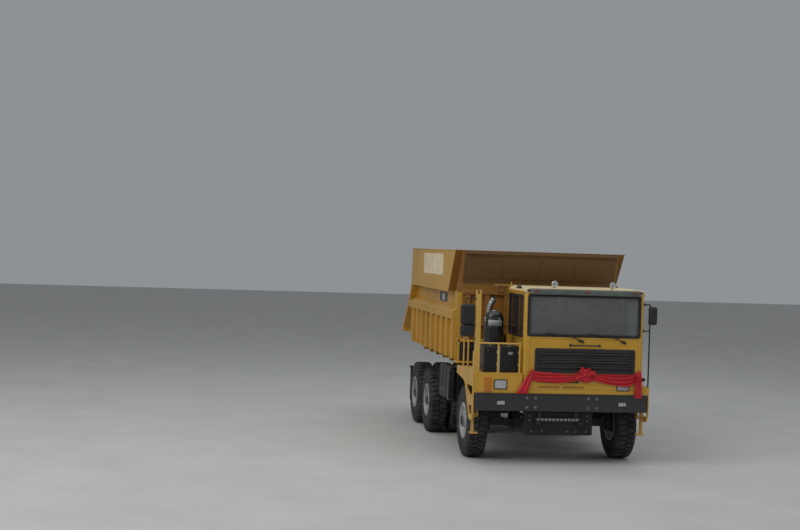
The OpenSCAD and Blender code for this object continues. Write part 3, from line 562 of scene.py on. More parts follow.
    def bolt(self, p, axis, r=0.012, h=0.010, m=0, washer=True, turn=0.0):
        """A hexagon head with a domed top, on a washer."""
        if washer:
            self.lathe([(0, 0), (r * 1.45, 0), (r * 1.45, h * 0.2), (0, h * 0.2)], p, axis, 14, m, False)
        self.lathe([(0, 0), (r, 0), (r, h * 0.86), (r * 0.84, h), (0, h)], p, axis, 6, m, False, start=turn)

    def obj(self, name, mats, body, replaces=(), merge=True):
        me = bpy.data.meshes.new(name)
        me.from_pydata(self.v, [], self.f)
        for x in mats:
            me.materials.append(M[x] if isinstance(x, str) else x)
        me.polygons.foreach_set("material_index", self.mi)
        me.polygons.foreach_set("use_smooth", self.sm)
        bm = bmesh.new()
        bm.from_mesh(me)
        bmesh.ops.remove_doubles(bm, verts=bm.verts, dist=1e-6)
        bmesh.ops.recalc_face_normals(bm, faces=bm.faces)
        bm.to_mesh(me)
        bm.free()
        me.update()
        ob = bpy.data.objects.new(name, me)
        scene.collection.objects.link(ob)
        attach(ob, body)
        if replaces:
            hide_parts(*replaces)
        return ob


def rrect(a, b, r, k=4):
    """Points of a rounded rectangle from a to b."""
    (u0, v0), (u1, v1) = a, b
    r = min(r, (u1 - u0) / 2 - 1e-5, (v1 - v0) / 2 - 1e-5)
    pts = []
    for cu, cv, t0 in ((u1 - r, v1 - r, 0), (u0 + r, v1 - r, 90), (u0 + r, v0 + r, 180), (u1 - r, v0 + r, 270)):
        for i in range(k + 1):
            t = math.radians(t0 + 90 * i / k)
            pts.append((cu + r * math.cos(t), cv + r * math.sin(t)))
    return pts


# planes: (u, v, distance outwards) to a point
def FRONT(y0):
    return lambda u, v, d: (u, y0 - d, v)


def REAR(y0):
    return lambda u, v, d: (u, y0 + d, v)


def RIGHT(x0):
    return lambda u, v, d: (x0 - d, u, v)


def LEFT(x0):
    return lambda u, v, d: (x0 + d, u, v)


def TOP(z0):
    return lambda u, v, d: (u, v, z0 + d)


def arc(c, r, a0, a1, n, plane="yz", at=0.0):
    """Points on a circle arc in a plane, at the third coordinate."""
    out = []
    for i in range(n + 1):
        t = math.radians(a0 + (a1 - a0) * i / n)
        p, q = c[0] + r * math.cos(t), c[1] + r * math.sin(t)
        out.append({"yz": (at, p, q), "xz": (p, at, q), "xy": (p, q, at)}[plane])
    return out


def dress(node, mat, bevel=0.004, angle=35, segments=2):
    """A CAD node's material, and a small rounded edge on its plates."""
    ob = N[node]
    ob.data.materials.clear()
    ob.data.materials.append(M[mat])
    if bevel:
        w = ob.modifiers.new("weld", "WELD")
        w.merge_threshold = 0.00005
        b = ob.modifiers.new("bevel", "BEVEL")
        b.width = bevel
        b.segments = segments
        b.limit_method = "ANGLE"
        b.angle_limit = math.radians(angle)
        b.use_clamp_overlap = True
        b.harden_normals = False
    return ob


# ---------------------------------------------------------------- CAD nodes
for name, mat, bevel in (
        ("chassis_frame", "frame", 0.006), ("frame_brackets", "frame", 0.004), ("hoist_cradle", "frame", 0.004), ("front_bumper", "charcoal", 0.012), ("platform_right", "yellow", 0.003),
        ("fender_left", "yellow", 0.003), ("boarding_steps", "yellow", 0.002), ("railing", "rail", 0),
        ("cab_floor", "frame", 0.003), ("cab_front", "shell", 0.006), ("cab_roof", "roof", 0.008),
        ("cab_rear_wall", "shell", 0.006), ("cab_side_right", "shell", 0.006), ("cab_side_left", "shell", 0.006),
        ("cab_glass", "glass", 0), ("grille", "charcoal", 0.002), ("sun_visor", "plastic_grey", 0.002),
        ("dashboard", "dash", 0.008), ("steering_wheel", "plastic", 0), ("seats", "seat", 0.03),
        ("lamps", "chrome", 0.002), ("cooler_boxes", "black", 0.006), ("air_cleaner", "black", 0.003),
        ("exhaust", "hot_steel", 0), ("hydraulic_tank", "black", 0.004), ("fuel_tanks", "dark_tank", 0.004),
        ("engine_block", "cast", 0.01), ("driveline", "cast", 0.006), ("front_axle", "cast", 0.008),
        ("rear_axles", "cast", 0.006), ("leaf_springs", "spring", 0.004), ("ribbon", "ribbon", 0.004),
        ("door_left", "shell", 0.006), ("door_glass", "side_glass", 0),
        ("body_floor", "body_yellow", 0.004), ("body_side_left", "body_side", 0.008),
        ("body_side_right", "body_side", 0.008), ("body_front_wall", "body_orange", 0.006),
        ("body_canopy", "canopy", 0.006), ("hoist_barrel", "charcoal", 0.004), ("hoist_stage_1", "steel", 0.002),
        ("hoist_stage_2", "steel", 0.002), ("hoist_stage_3", "steel", 0.002), ("hoist_rod", "steel", 0.002),
        ("knuckle_left", "cast", 0.004), ("knuckle_right", "cast", 0.004),
        ("tyre_front_left", "tyre", 0), ("tyre_front_right", "tyre", 0), ("rim_front_left", "rim", 0.003),
        ("rim_front_right", "rim", 0.003), ("tyres_rear1_left", "tyre", 0), ("tyres_rear1_right", "tyre", 0),
        ("rims_rear1_left", "rim", 0.003), ("rims_rear1_right", "rim", 0.003), ("tyres_rear2_left", "tyre", 0),
        ("tyres_rear2_right", "tyre", 0), ("rims_rear2_left", "rim", 0.003), ("rims_rear2_right", "rim", 0.003)):
    dress(name, mat, bevel)


# ---------------------------------------------------------------- tyres
TYRE_R, TYRE_Z = 0.670, 0.670


def tyre_shape(g, x, y):
    """Carcass with bead, sidewall bands and buttress, and a bold lugged tread."""
    half = [(0.3225, 0.148), (0.333, 0.163), (0.352, 0.1705), (0.372, 0.1765), (0.378, 0.1805), (0.392, 0.1815),
            (0.400, 0.1805), (0.440, 0.1835), (0.480, 0.1862), (0.486, 0.1872), (0.498, 0.1872), (0.504, 0.1858),
            (0.545, 0.1845), (0.578, 0.1815), (0.600, 0.1762), (0.618, 0.1670), (0.632, 0.1540), (0.640, 0.1300),
            (0.6435, 0.080), (0.6445, 0.0)]
    prof = [(r, a) for r, a in half] + [(r, -a) for r, a in reversed(half[:-1])]
    prof.append(prof[0])
    g.lathe(prof, (x, y, TYRE_Z), (1, 0, 0), 112, 0, True)
    # lugs: stations across the tread, (half width, outer radius, turn in degrees)
    count = 40
    pitch = 2 * math.pi / count
    stations = [(0.012, 0.6690, 0.0), (0.055, 0.6690, 1.1), (0.100, 0.6680, 1.7), (0.126, 0.6655, 1.9),
                (0.148, 0.6590, 2.0), (0.1665, 0.6400, 2.0), (0.1770, 0.6120, 2.0), (0.1800, 0.5980, 2.0)]
    floor = [0.640, 0.639, 0.637, 0.634, 0.628, 0.614, 0.596, 0.590]
    for side in (-1, 1):
        for k in range(count):
            t0 = k * pitch + (pitch / 2 if side > 0 else 0)
            vs = []
            for (a, r, turn), f in zip(stations, floor):
                c = t0 + math.radians(turn) * 1.0
                wd = pitch * (0.31 if a < 0.14 else 0.27)
                af = a if a < 0.15 else a - 0.008
                for rr, aa, w in ((f, af, wd * 1.12), (r, a, wd)):
                    for s in (-1, 1):
                        t = c + s * w
                        vs.append((x + side * aa, y + rr * math.cos(t), TYRE_Z + rr * math.sin(t)))
            fs = []
            L = len(stations)
            for i in range(L - 1):
                o, p = i * 4, i * 4 + 4
                fs += [[o + 2, o + 3, p + 3, p + 2], [o, o + 2, p + 2, p], [o + 1, p + 1, p + 3, o + 3], [o, p, p + 1, o + 1]]
            fs += [[0, 1, 3, 2], [4 * L - 4, 4 * L - 2, 4 * L - 1, 4 * L - 3]]
            g.add(vs, fs, 1, False)
    # sidewall ribs between the bands
    for side in (-1, 1):
        for k in range(80):
            t = 2 * math.pi * k / 80
            vs = []
            for r, a in ((0.510, 0.1850), (0.540, 0.1838)):
                for da in (-0.003, 0.0018):
                    for s in (-1, 1):
                        tt = t + s * 0.012
                        vs.append((x + side * (a + da), y + r * math.cos(tt), TYRE_Z + r * math.sin(tt)))
            g.add(vs, [[2, 3, 7, 6], [0, 2, 6, 4], [1, 5, 7, 3], [0, 4, 5, 1], [0, 1, 3, 2], [4, 6, 7, 5]], 0, False)


TRACK_F, TRACK_RI, TRACK_RO = 1.412, 1.078, 1.512
AXLE = {"front": -3.12, "rear1": 0.48, "rear2": 2.08}
for sd, sg in (("left", 1), ("right", -1)):
    g = Geo()
    tyre_shape(g, sg * TRACK_F, AXLE["front"])
    g.obj("treaded_tyre_front_" + sd, ["tyre", "tread"], "wheel_front_" + sd, ["tyre_front_" + sd])
    for ax in ("rear1", "rear2"):
        g = Geo()
        for tx in (TRACK_RI, TRACK_RO):
            tyre_shape(g, sg * tx, AXLE[ax])
        g.obj("treaded_tyres_%s_%s" % (ax, sd), ["tyre", "tread"], "wheels_%s_%s" % (ax, sd), ["tyres_%s_%s" % (ax, sd)])

# ---------------------------------------------------------------- wheels
def wheel_detail(g, sg, y, disc, hub, rim_x, nuts, outer=True):
    """Nuts, hub cap, dished weld, lock ring and valve on a disc facing outwards."""
    ax = (sg, 0, 0)
    def at(x, r=0.0, deg=0.0):
        t = math.radians(deg)
        return (sg * x, y + r * math.cos(t), TYRE_Z + r * math.sin(t))
    # pressed dish between the disc and the rim barrel
    g.lathe([(0.256, disc - 0.002), (0.262, disc + 0.003), (0.280, disc + 0.007), (0.292, disc + 0.022), (0.3005, disc + 0.060),
             (0.3015, disc + 0.060), (0.3015, disc - 0.002), (0.256, disc - 0.002)], (0, y, TYRE_Z), ax, 72, 0, True)
    # raised bolt circle
    g.lathe([(0.118, disc - 0.001), (0.118, disc + 0.010), (0.176, disc + 0.010), (0.182, disc + 0.004), (0.184, disc - 0.001), (0.118, disc - 0.001)],
            (0, y, TYRE_Z), ax, 60, 0, True)
    for k in range(nuts):
        a = 360.0 * k / nuts + 18
        p = at(disc + 0.010, 0.152, a)
        g.bolt(p, ax, 0.0165, 0.022, 1, turn=math.radians(a))
        g.cyl(p, (p[0] + sg * 0.034, p[1], p[2]), 0.0085, 1, 10)
    # rolled edges of the hand holes
    for k in range(10):
        p = at(disc + 0.001, 0.215, 36 * k)
        g.ring(p, ax, 0.031, 0.0038, 0, 24, 6)
    # hub face, its cap and bolts
    g.lathe([(0, hub - 0.001), (0.121, hub - 0.001), (0.121, hub + 0.006), (0.114, hub + 0.011), (0.088, hub + 0.011), (0.084, hub + 0.017), (0.070, hub + 0.030),
             (0.045, hub + 0.036), (0, hub + 0.037)], (0, y, TYRE_Z), ax, 48, 2, True)
    for k in range(8):
        g.bolt(at(hub + 0.011, 0.101, 45 * k + 10), ax, 0.009, 0.009, 1, turn=k)
    # lock ring in the outer flange
    g.ring((sg * (rim_x + 0.004), y, TYRE_Z), ax, 0.3165, 0.0085, 0, 84, 8)
    g.ring((sg * (rim_x - 0.006), y, TYRE_Z), ax, 0.3345, 0.0052, 0, 84, 8)
    # valve
    p = at(disc + 0.005, 0.276, 100)
    g.tube([p, (p[0] + sg * 0.03, p[1], p[2]), (p[0] + sg * 0.075, p[1] - 0.004, p[2] + 0.012)], 0.0055, 1, 8)


for sd, sg in (("left", 1), ("right", -1)):
    g = Geo()
    wheel_detail(g, sg, AXLE["front"], 1.520, 1.600, 1.581, 10)
    g.obj("wheel_trim_front_" + sd, ["rim", "zinc", "charcoal"], "wheel_front_" + sd)
    for ax in ("rear1", "rear2"):
        g = Geo()
        wheel_detail(g, sg, AXLE[ax], 1.420, 1.672, 1.681, 10)
        g.obj("wheel_trim_%s_%s" % (ax, sd), ["rim", "zinc", "charcoal"], "wheels_%s_%s" % (ax, sd))

# ---------------------------------------------------------------- bumper
g = Geo()
P = FRONT(-4.28)
for sx in (-1, 1):
    for u in (0.49, 0.65):
        for v in (1.055, 1.225):
            g.bolt((sx * u, -4.2795, v), (0, -1, 0), 0.0185, 0.014, 1, turn=u)
# bare centre plate and its holes
g.slab(P, (-0.36, 1.015), (0.44, 1.262), -0.002, 0.004, 0, 0.012, 0.002)
for u, v in ((-0.16, 1.10), (-0.05, 1.10), (0.15, 1.10), (0.04, 1.19), (0.24, 1.10)):
    g.lathe([(0, 0.003), (0.013, 0.003), (0.013, 0.0048), (0, 0.0048)], (u, -4.28, v), (0, -1, 0), 16, 2, False)
# folded lip along the top and a seam towards each end
g.box((-1.575, -4.284, 1.292), (1.575, -4.262, 1.3005), 0, 0.003)
for sx in (-1, 1):
    g.box((sx * 0.918, -4.2822, 0.999), (sx * 0.924, -4.278, 1.288), 2, 0.001)
# slotted step plate behind the bumper's middle, on the front crossmember
g.box((-0.440, -4.108, 0.772), (0.400, -4.060, 0.784), 0, 0.003)
g.box((-0.440, -4.104, 0.784), (0.400, -4.092, 0.856), 0, 0.003)
for k in range(11):
    u = -0.4115 + k * 0.0724
    g.slab(FRONT(-4.104), (u, 0.800), (u + 0.050, 0.838), -0.001, 0.0022, 4, 0.012, 0.001)
for u in (-0.36, 0.32):
    g.box((u - 0.03, -4.094, 0.78), (u + 0.03, -4.060, 0.965), 0, 0.004)
# the low plate's near-black is partly painted shade under the bumper
g.slab(FRONT(-4.060), (-0.600, 0.538), (0.610, 0.950), -0.002, 0.010, 2, 0.030, 0.003)
g.box((-0.590, -4.066, 0.532), (0.600, -3.985, 0.545), 2, 0.004)
for u, v in ((-0.50, 0.60), (-0.30, 0.615), (0.16, 0.60), (0.33, 0.60), (0.52, 0.60), (-0.54, 0.80), (-0.54, 0.89), (0.54, 0.80), (0.54, 0.89)):
    g.bolt((u, -4.070, v), (0, -1, 0), 0.011, 0.009, 1, turn=u * 9)
g.obj("bumper_fittings", ["charcoal", "dull_bolt", "crossmember", "label", "rim"], "chassis")

# ---------------------------------------------------------------- lamps
g = Geo()
BLK, CHR, LEN, AMB, RED = 0, 1, 2, 3, 4


def round_lamp(g, c, ax, r, depth, glass_m=LEN, ribs=False):
    g.lathe([(0, -depth), (r * 0.35, -depth), (r * 0.75, -depth * 0.55), (r * 0.96, 0), (r * 1.02, 0.002), (r * 1.02, -0.004), (r * 0.8, -depth * 0.62), (r * 0.4, -depth * 1.08), (0, -depth * 1.1)],
            c, ax, 28, CHR, True)
    g.lathe([(0, -depth * 0.99), (r * 0.16, -depth * 0.97), (r * 0.16, -depth * 0.55), (r * 0.08, -depth * 0.45), (0, -depth * 0.43)], c, ax, 14, LEN, True)
    g.lathe([(0, 0.006), (r * 0.6, 0.0045), (r * 0.97, 0.001), (r * 0.97, -0.003), (0, -0.002)], c, ax, 28, glass_m, True)
    g.ring(Vector(c), ax, r * 1.0, r * 0.06, CHR, 28, 6)


def head_lamp(g, x0, x1, z0, z1, y):
    P = FRONT(y)
    g.surround(P, (x0, z0), (x1, z1), 0.016, -0.046, 0.010, BLK, 0.022, 0.004)
    g.slab(P, (x0 + 0.012, z0 + 0.012), (x1 - 0.012, z1 - 0.012), -0.048, -0.030, CHR, 0.012, 0.002)
    mid = (x0 + x1) / 2
    for c in (mid - 0.052, mid + 0.052):
        round_lamp(g, (c, y + 0.006, (z0 + z1) / 2 + 0.012), (0, -1, 0), 0.045, 0.030)
    g.slab(P, (mid - 0.085, z0 + 0.018), (mid + 0.085, z0 + 0.034), -0.032, -0.018, AMB, 0.006, 0.002)
    g.slab(P, (x0 + 0.0155, z0 + 0.0155), (x1 - 0.0155, z1 - 0.0155), 0.001, 0.0055, LEN, 0.010, 0.002)
    for k in range(11):
        u = x0 + 0.030 + k * (x1 - x0 - 0.060) / 10
        g.box((u - 0.0012, y - 0.0068, z0 + 0.022), (u + 0.0012, y - 0.0048, z1 - 0.022), LEN, 0.0004)


head_lamp(g, -1.262, -1.018, 1.372, 1.550, -4.252)
head_lamp(g, 1.018, 1.262, 1.372, 1.550, -4.252)
for sx in (-1, 1):
    a, b = sorted((sx * 1.042, sx * 1.214))
    P = FRONT(-4.28)
    g.surround(P, (a + 0.001, 1.087), (b - 0.001, 1.179), 0.010, -0.058, 0.003, BLK, 0.010, 0.002)
    g.slab(P, (a + 0.008, 1.094), (b - 0.008, 1.172), -0.060, -0.040, CHR, 0.006, 0.002)
    for c in ((a + b) / 2 - 0.036, (a + b) / 2 + 0.036):
        round_lamp(g, (c, -4.262, 1.133), (0, -1, 0), 0.031, 0.026)
    g.slab(P, (a + 0.0105, 1.0965), (b - 0.0105, 1.1695), -0.010, -0.005, LEN, 0.006, 0.0015)
    for k in range(9):
        u = a + 0.024 + k * (b - a - 0.048) / 8
        g.box((u - 0.001, -4.2758, 1.102), (u + 0.001, -4.2742, 1.164), LEN, 0.0004)
# lamps on the roof
for x in (-0.19, 0.895):
    c = (x, -4.214, 3.292)
    g.lathe([(0, 0.072), (0.030, 0.070), (0.046, 0.052), (0.054, 0.018), (0.056, 0.0), (0.053, -0.001), (0, -0.001)], (x, -4.214, 3.292), (0, 1, 0), 28, BLK, True)
    g.lathe([(0.046, 0.0), (0.056, 0.0), (0.0565, 0.010), (0.050, 0.014), (0.046, 0.012), (0.046, 0.0)], c, (0, -1, 0), 30, CHR, True)
    g.lathe([(0, 0.010), (0.030, 0.008), (0.047, 0.003), (0.047, 0.0), (0, 0.0)], c, (0, -1, 0), 28, LEN, True)
    g.lathe([(0, 0.0), (0.020, 0.0), (0.044, 0.003), (0.046, 0.001), (0.046, -0.002), (0, -0.002)], c, (0, -1, 0), 28, CHR, True)
    g.tube([(x, -4.18, 3.238), (x, -4.18, 3.222)], 0.016, BLK, 12)
    g.box((x - 0.030, -4.205, 3.217), (x + 0.030, -4.155, 3.226), BLK, 0.002)
    g.bolt((x, -4.150, 3.226), (0, 0, 1), 0.009, 0.008, CHR)
# tail lamps: stop, turn and reverse chambers behind one bezel
for sx in (-1, 1):
    a, b = sorted((sx * 0.300, sx * 0.400))
    P = REAR(2.782)
    g.slab(P, (a + 0.001, 1.171), (b - 0.001, 1.269), -0.001, 0.026, BLK, 0.012, 0.004)
    for i, m in enumerate((RED, AMB, LEN)):
        u = a + 0.008 + i * 0.0285
        g.slab(P, (u, 1.180), (u + 0.0265, 1.260), 0.024, 0.040, m, 0.006, 0.004)
g.obj("lamp_units", ["plastic", "chrome", "lens", "lens_amber", "lens_red"], "chassis", ["lamps"])

# turn-signal louvres beside the head lamp, on their plate
g = Geo()
P = FRONT(-4.25)
g.slab(P, (-1.452, 1.322), (-1.300, 1.606), -0.001, 0.002, 1, 0.010, 0.001)
for k in range(6):
    z = 1.334 + k * 0.0455
    g.box((-1.446, -4.264, z), (-1.306, -4.250, z + 0.029), 0, 0.005, Matrix.Rotation(math.radians(-14), 3, "X"))
g.obj("side_louvres", ["orange", "yellow"], "chassis")

# ---------------------------------------------------------------- grille
g = Geo()
P = FRONT(-4.25)
g.surround(P, (-0.526, 1.680), (1.352, 2.132), 0.040, -0.050, 0.012, 0, 0.040, 0.005)
g.box((-0.51, -4.206, 1.70), (1.335, -4.198, 2.11), 2, 0.001)
z = 1.7225
for k in range(8):
    zc = 1.735 + k * 0.0485
    g.box((-0.488, -4.2565, zc - 0.0165), (1.314, -4.2385, zc + 0.0165), 0, 0.004, Matrix.Rotation(math.radians(28), 3, "X"))
    if k in (1, 3, 4, 6, 7):
        g.box((-0.440 + 0.02 * (k % 2), -4.2600, zc + 0.0175), (1.266 - 0.02 * (k % 2), -4.2560, zc + 0.0225), 1, 0.001)
for x in (-0.30, 0.16, 0.66, 1.12):
    g.box((x - 0.006, -4.238, 1.70), (x + 0.006, -4.212, 2.11), 0, 0.002)
# mesh behind the blades
for k in range(62):
    x = -0.48 + k * 0.0292
    g.box((x - 0.0012, -4.2085, 1.70), (x + 0.0012, -4.2060, 2.11), 2, 0.0004)
for k in range(14):
    zz = 1.705 + k * 0.030
    g.box((-0.49, -4.2105, zz - 0.0012), (1.32, -4.2085, zz + 0.0012), 2, 0.0004)
for x in (-0.505, 1.331):
    for v in (1.705, 1.905, 2.108):
        g.bolt((x, -4.2615, v), (0, -1, 0), 0.0075, 0.006, 3)
g.obj("grille_unit", ["grille_paint", "grille_edge", "black", "charcoal"], "chassis", ["grille"])

# ---------------------------------------------------------------- cab outside
g = Geo()
SEAL, PLA, ZN, YEL, DRK, ORA, BRN = 0, 1, 2, 3, 4, 5, 6
P = FRONT(-4.25)
g.surround(P, (-0.682, 2.336), (1.442, 3.112), 0.052, -0.022, 0.010, SEAL, 0.055, 0.006)
g.surround(P, (-0.655, 2.362), (1.415, 3.086), 0.012, 0.006, 0.0125, PLA, 0.045, 0.002)
P = RIGHT(-0.735)
g.surround(P, (-4.156, 2.304), (-2.934, 3.086), 0.046, -0.018, 0.008, SEAL, 0.05, 0.005)
g.box((-0.7385, -3.560, 2.335), (-0.7200, -3.530, 3.055), SEAL, 0.003)
P = LEFT(1.50)
g.surround(P, (-3.172, 2.306), (-2.938, 3.084), 0.036, -0.018, 0.008, SEAL, 0.04, 0.004)
P = REAR(-2.85)
g.surround(P, (-0.276, 2.424), (1.076, 3.026), 0.042, -0.022, 0.008, SEAL, 0.05, 0.005)
g.box((0.388, -2.876, 2.452), (0.412, -2.862, 2.998), ZN, 0.002)
# grab bar over the grille and the small handle under it
for x0, x1, zz, r, off in ((0.134, 0.675, 2.192, 0.0125, 0.045), (-0.010, 0.287, 1.520, 0.009, 0.022)):
    g.tube([(x0, -4.250, zz), (x0, -4.25 - off * 0.7, zz), (x0 + 0.012, -4.25 - off, zz), (x0 + 0.04, -4.25 - off, zz), (x1 - 0.04, -4.25 - off, zz),
            (x1 - 0.012, -4.25 - off, zz), (x1, -4.25 - off * 0.7, zz), (x1, -4.250, zz)], r, DRK, 12)
    for x in (x0, x1):
        g.lathe([(0, 0), (r * 2.1, 0), (r * 2.1, 0.004), (r * 1.6, 0.007), (0, 0.007)], (x, -4.2495, zz), (0, -1, 0), 18, DRK, True)
# two pressed slots under the grille
for x0, x1 in ((-0.454, -0.046), (0.010, 0.411)):
    P = FRONT(-4.25)
    g.surround(P, (x0 - 0.010, 1.404), (x1 + 0.010, 1.452), 0.010, -0.002, 0.004, YEL, 0.022, 0.002)
    g.slab(P, (x0, 1.412), (x1, 1.444), -0.002, 0.0012, ORA, 0.014, 0.0008)
# seams of the front panel: the lid over the radiator and the lower valance
for a, b in (((-0.615, 1.600), (-0.611, 2.300)), ((1.411, 1.600), (1.415, 2.300)), ((-0.615, 2.298), (1.415, 2.302)), ((-0.700, 1.386), (1.480, 1.390))):
    g.slab(FRONT(-4.25), a, b, -0.003, 0.0007, DRK, 0.0018, 0.0004)
for x in (-0.655, 1.455):
    for v in (1.47, 1.62, 1.82, 2.02, 2.22):
        g.bolt((x, -4.2495, v), (0, -1, 0), 0.008, 0.005, ZN, turn=v * 7)
# gutter along the roof, its front lip and the roof's corner lamps
g.box((-0.752, -4.235, 3.126), (-0.733, -2.86, 3.150), YEL, 0.004)
g.box((1.498, -4.235, 3.126), (1.517, -2.86, 3.150), YEL, 0.004)
for x in (-0.665, 1.43):
    g.slab(FRONT(-4.25), (x - 0.035, 3.150), (x + 0.035, 3.186), -0.002, 0.022, DRK, 0.010, 0.005)
g.tube([(-0.700, -2.935, 3.190), (-0.700, -2.935, 3.285)], 0.010, YEL, 10)
g.box((-0.728, -2.960, 3.190), (-0.670, -2.912, 3.214), YEL, 0.004)
g.box((-1.025, -2.962, 3.214), (-0.640, -2.908, 3.226), YEL, 0.003)
g.box((-0.745, -2.955, 3.120), (-0.734, -2.915, 3.216), YEL, 0.002)
g.box((-0.976, -2.972, 3.064), (-0.826, -2.906, 3.186), BRN, 0.014)
g.surround(FRONT(-2.972), (-0.970, 3.070), (-0.832, 3.180), 0.012, -0.001, 0.006, DRK, 0.014, 0.002)
g.tube([(-0.901, -2.939, 3.180), (-0.901, -2.939, 3.216)], 0.014, DRK, 12)
g.box((-0.735, -3.930, 3.186), (-0.690, -3.470, 3.206), DRK, 0.006)
g.box((-0.752, -3.800, 3.196), (-0.700, -3.640, 3.238), DRK, 0.010)
# panel joints of the cab's right side
for v in (2.26,):
    g.slab(RIGHT(-0.735), (-4.185, v), (-2.905, v + 0.004), -0.003, 0.001, DRK, 0.001, 0.0005)
g.slab(RIGHT(-0.735), (-4.190, 1.70), (-4.186, 3.12), -0.003, 0.001, DRK, 0.001, 0.0005)
# back wall pressings
for x in (-0.55, 0.0, 0.75, 1.25):
    g.slab(REAR(-2.85), (x - 0.16, 1.76), (x + 0.16, 2.34), -0.002, 0.008, YEL, 0.030, 0.006)
g.obj("cab_fittings", ["seal", "plastic", "yellow", "yellow", "black", "body_orange", "body_orange"], "chassis")

# wipers
g = Geo()
for px, pz, mx, mz, ex, ez in ((0.344, 2.270, 0.137, 2.352, -0.343, 2.412), (1.142, 2.262, 0.929, 2.350, 0.470, 2.405)):
    y = -4.262
    g.lathe([(0, 0), (0.024, 0), (0.024, 0.012), (0.016, 0.024), (0, 0.026)], (px, -4.250, pz), (0, -1, 0), 20, 0, True)
    d = Vector((mx - px, 0, mz - pz))
    g.tube([(px, -4.272, pz), (px + d.x * 0.4, -4.278, pz + d.z * 0.4), (mx, -4.280, mz), (mx - 0.08, -4.2775, mz + 0.012)], 0.0085, 0, 8, r_end=0.005)
    g.box((px + 0.03, -4.284, pz - 0.018), (px - 0.085, -4.268, pz + 0.020), 0, 0.005, Matrix.Rotation(math.atan2(d.z, -d.x), 3, "Y"))
    L = Vector((ex - mx, 0, ez - mz))
    a = Vector((mx, -4.2675, mz)) - L * 0.18
    b = Vector((ex, -4.2675, ez))
    g.tube([a, a.lerp(b, 0.25) + Vector((0, -0.004, 0)), a.lerp(b, 0.5) + Vector((0, -0.007, 0)), a.lerp(b, 0.75) + Vector((0, -0.004, 0)), b], 0.0055, 0, 6)
    g.tube([a + Vector((0, 0.0035, -0.009)), b + Vector((0, 0.0035, -0.009))], 0.0035, 1, 6)
g.obj("wipers", ["plastic", "seal"], "chassis")

# visor with its three markers
g = Geo()
def visor_curve(t, off):
    pts = [(-4.2505, 3.204), (-4.280, 3.203), (-4.296, 3.192), (-4.303, 3.165), (-4.3055, 3.130), (-4.3055, 3.101)]
    s = t * (len(pts) - 1)
    i = min(int(s), len(pts) - 2)
    q = s - i
    y = pts[i][0] * (1 - q) + pts[i + 1][0] * q
    z = pts[i][1] * (1 - q) + pts[i + 1][1] * q
    return y + off * (0.4 + 0.6 * t) , z - off * (1 - t)
rows = 11
vs, fs = [], []
xs = [-0.640 + 2.040 * i / 40 for i in range(41)]
for off in (0.0, 0.0045):
    for r in range(rows):
        y, z = visor_curve(r / (rows - 1), off)
        for x in xs:
            e = max(0.0, abs(x - 0.38) - 0.98) / 0.04
            vs.append((x, y + 0.006 * e * e, z))
n, L = len(xs), rows * len(xs)
for r in range(rows - 1):
    for i in range(n - 1):
        a = r * n + i
        fs.append([a, a + 1, a + n + 1, a + n])
        fs.append([L + a, L + a + n, L + a + n + 1, L + a + 1])
for i in range(n - 1):
    fs.append([i, L + i, L + i + 1, i + 1])
    b = (rows - 1) * n + i
    fs.append([b, b + 1, L + b + 1, L + b])
for r in range(rows - 1):
    a = r * n
    fs.append([a, a + n, L + a + n, L + a])
    a = r * n + n - 1
    fs.append([a, L + a, L + a + n, a + n])
g.add(vs, fs, 0, True)
for x in (-0.528, 0.392, 1.304):
    g.slab(FRONT(-4.3035), (x - 0.045, 3.148), (x + 0.045, 3.178), -0.004, 0.010, 1, 0.010, 0.004)
g.obj("visor", ["plastic_grey", "marker"], "chassis", ["sun_visor"])

# ---------------------------------------------------------------- mirrors
g = Geo()
PLA, GLS, ZN = 0, 1, 2


def mirror_head(g, x0, x1, z0, z1, yf, yb):
    """A rounded shell with a raised rim, its glass facing backwards."""
    P = FRONT((yf + yb) / 2)
    h = (yb - yf) / 2
    r = 0.035
    loops = []
    for inset, d in ((0.004, -h), (0.0, -h + 0.010), (0.0, h * 0.35), (0.010, h * 0.72), (0.030, h * 0.94), (0.060, h)):
        loops.append([P(u, v, d) for u, v in rrect((x0 + inset, z0 + inset), (x1 - inset, z1 - inset), max(r - inset * 0.4, 0.008), 5)])
    n = len(loops[0])
    fs = [list(range(n))[::-1], [5 * n + k for k in range(n)]]
    for i in range(5):
        fs += [[i * n + k, i * n + (k + 1) % n, (i + 1) * n + (k + 1) % n, (i + 1) * n + k] for k in range(n)]
    g.add([p for loop in loops for p in loop], fs, PLA, [False, False] + [True] * (5 * n))
    g.slab(REAR(yb - 0.003), (x0 + 0.014, z0 + 0.014), (x1 - 0.014, z1 - 0.014), -0.001, 0.0025, GLS, 0.026, 0.001, 5)


mirror_head(g, -1.893, -1.642, 2.522, 2.884, -4.223, -4.134)
mirror_head(g, -1.893, -1.642, 2.318, 2.510, -4.223, -4.134)
mirror_head(g, 1.602, 1.755, 2.592, 2.923, -4.248, -4.167)
g.tube([(-1.622, -4.18, 2.996), (-1.780, -4.18, 2.996), (-1.800, -4.18, 2.990), (-1.808, -4.18, 2.972), (-1.808, -4.18, 2.30), (-1.800, -4.18, 2.272), (-1.780, -4.18, 2.264),
        (-1.622, -4.18, 2.264)], 0.0095, PLA, 12)
g.tube([(-1.622, -4.18, 2.514), (-1.80, -4.18, 2.514)], 0.008, PLA, 10)
for z in (2.996, 2.514, 2.264):
    g.box((-1.634, -4.205, z - 0.028), (-1.621, -4.155, z + 0.028), PLA, 0.003)
    for s in (-1, 1):
        g.bolt((-1.634, -4.18 + s * 0.017, z + 0.016), (-1, 0, 0), 0.006, 0.005, ZN)
g.tube([(1.500, -4.205, 2.960), (1.600, -4.205, 2.960), (1.618, -4.205, 2.956), (1.625, -4.205, 2.940), (1.625, -4.205, 2.30), (1.625, -4.205, 1.452)], 0.0135, PLA, 14)
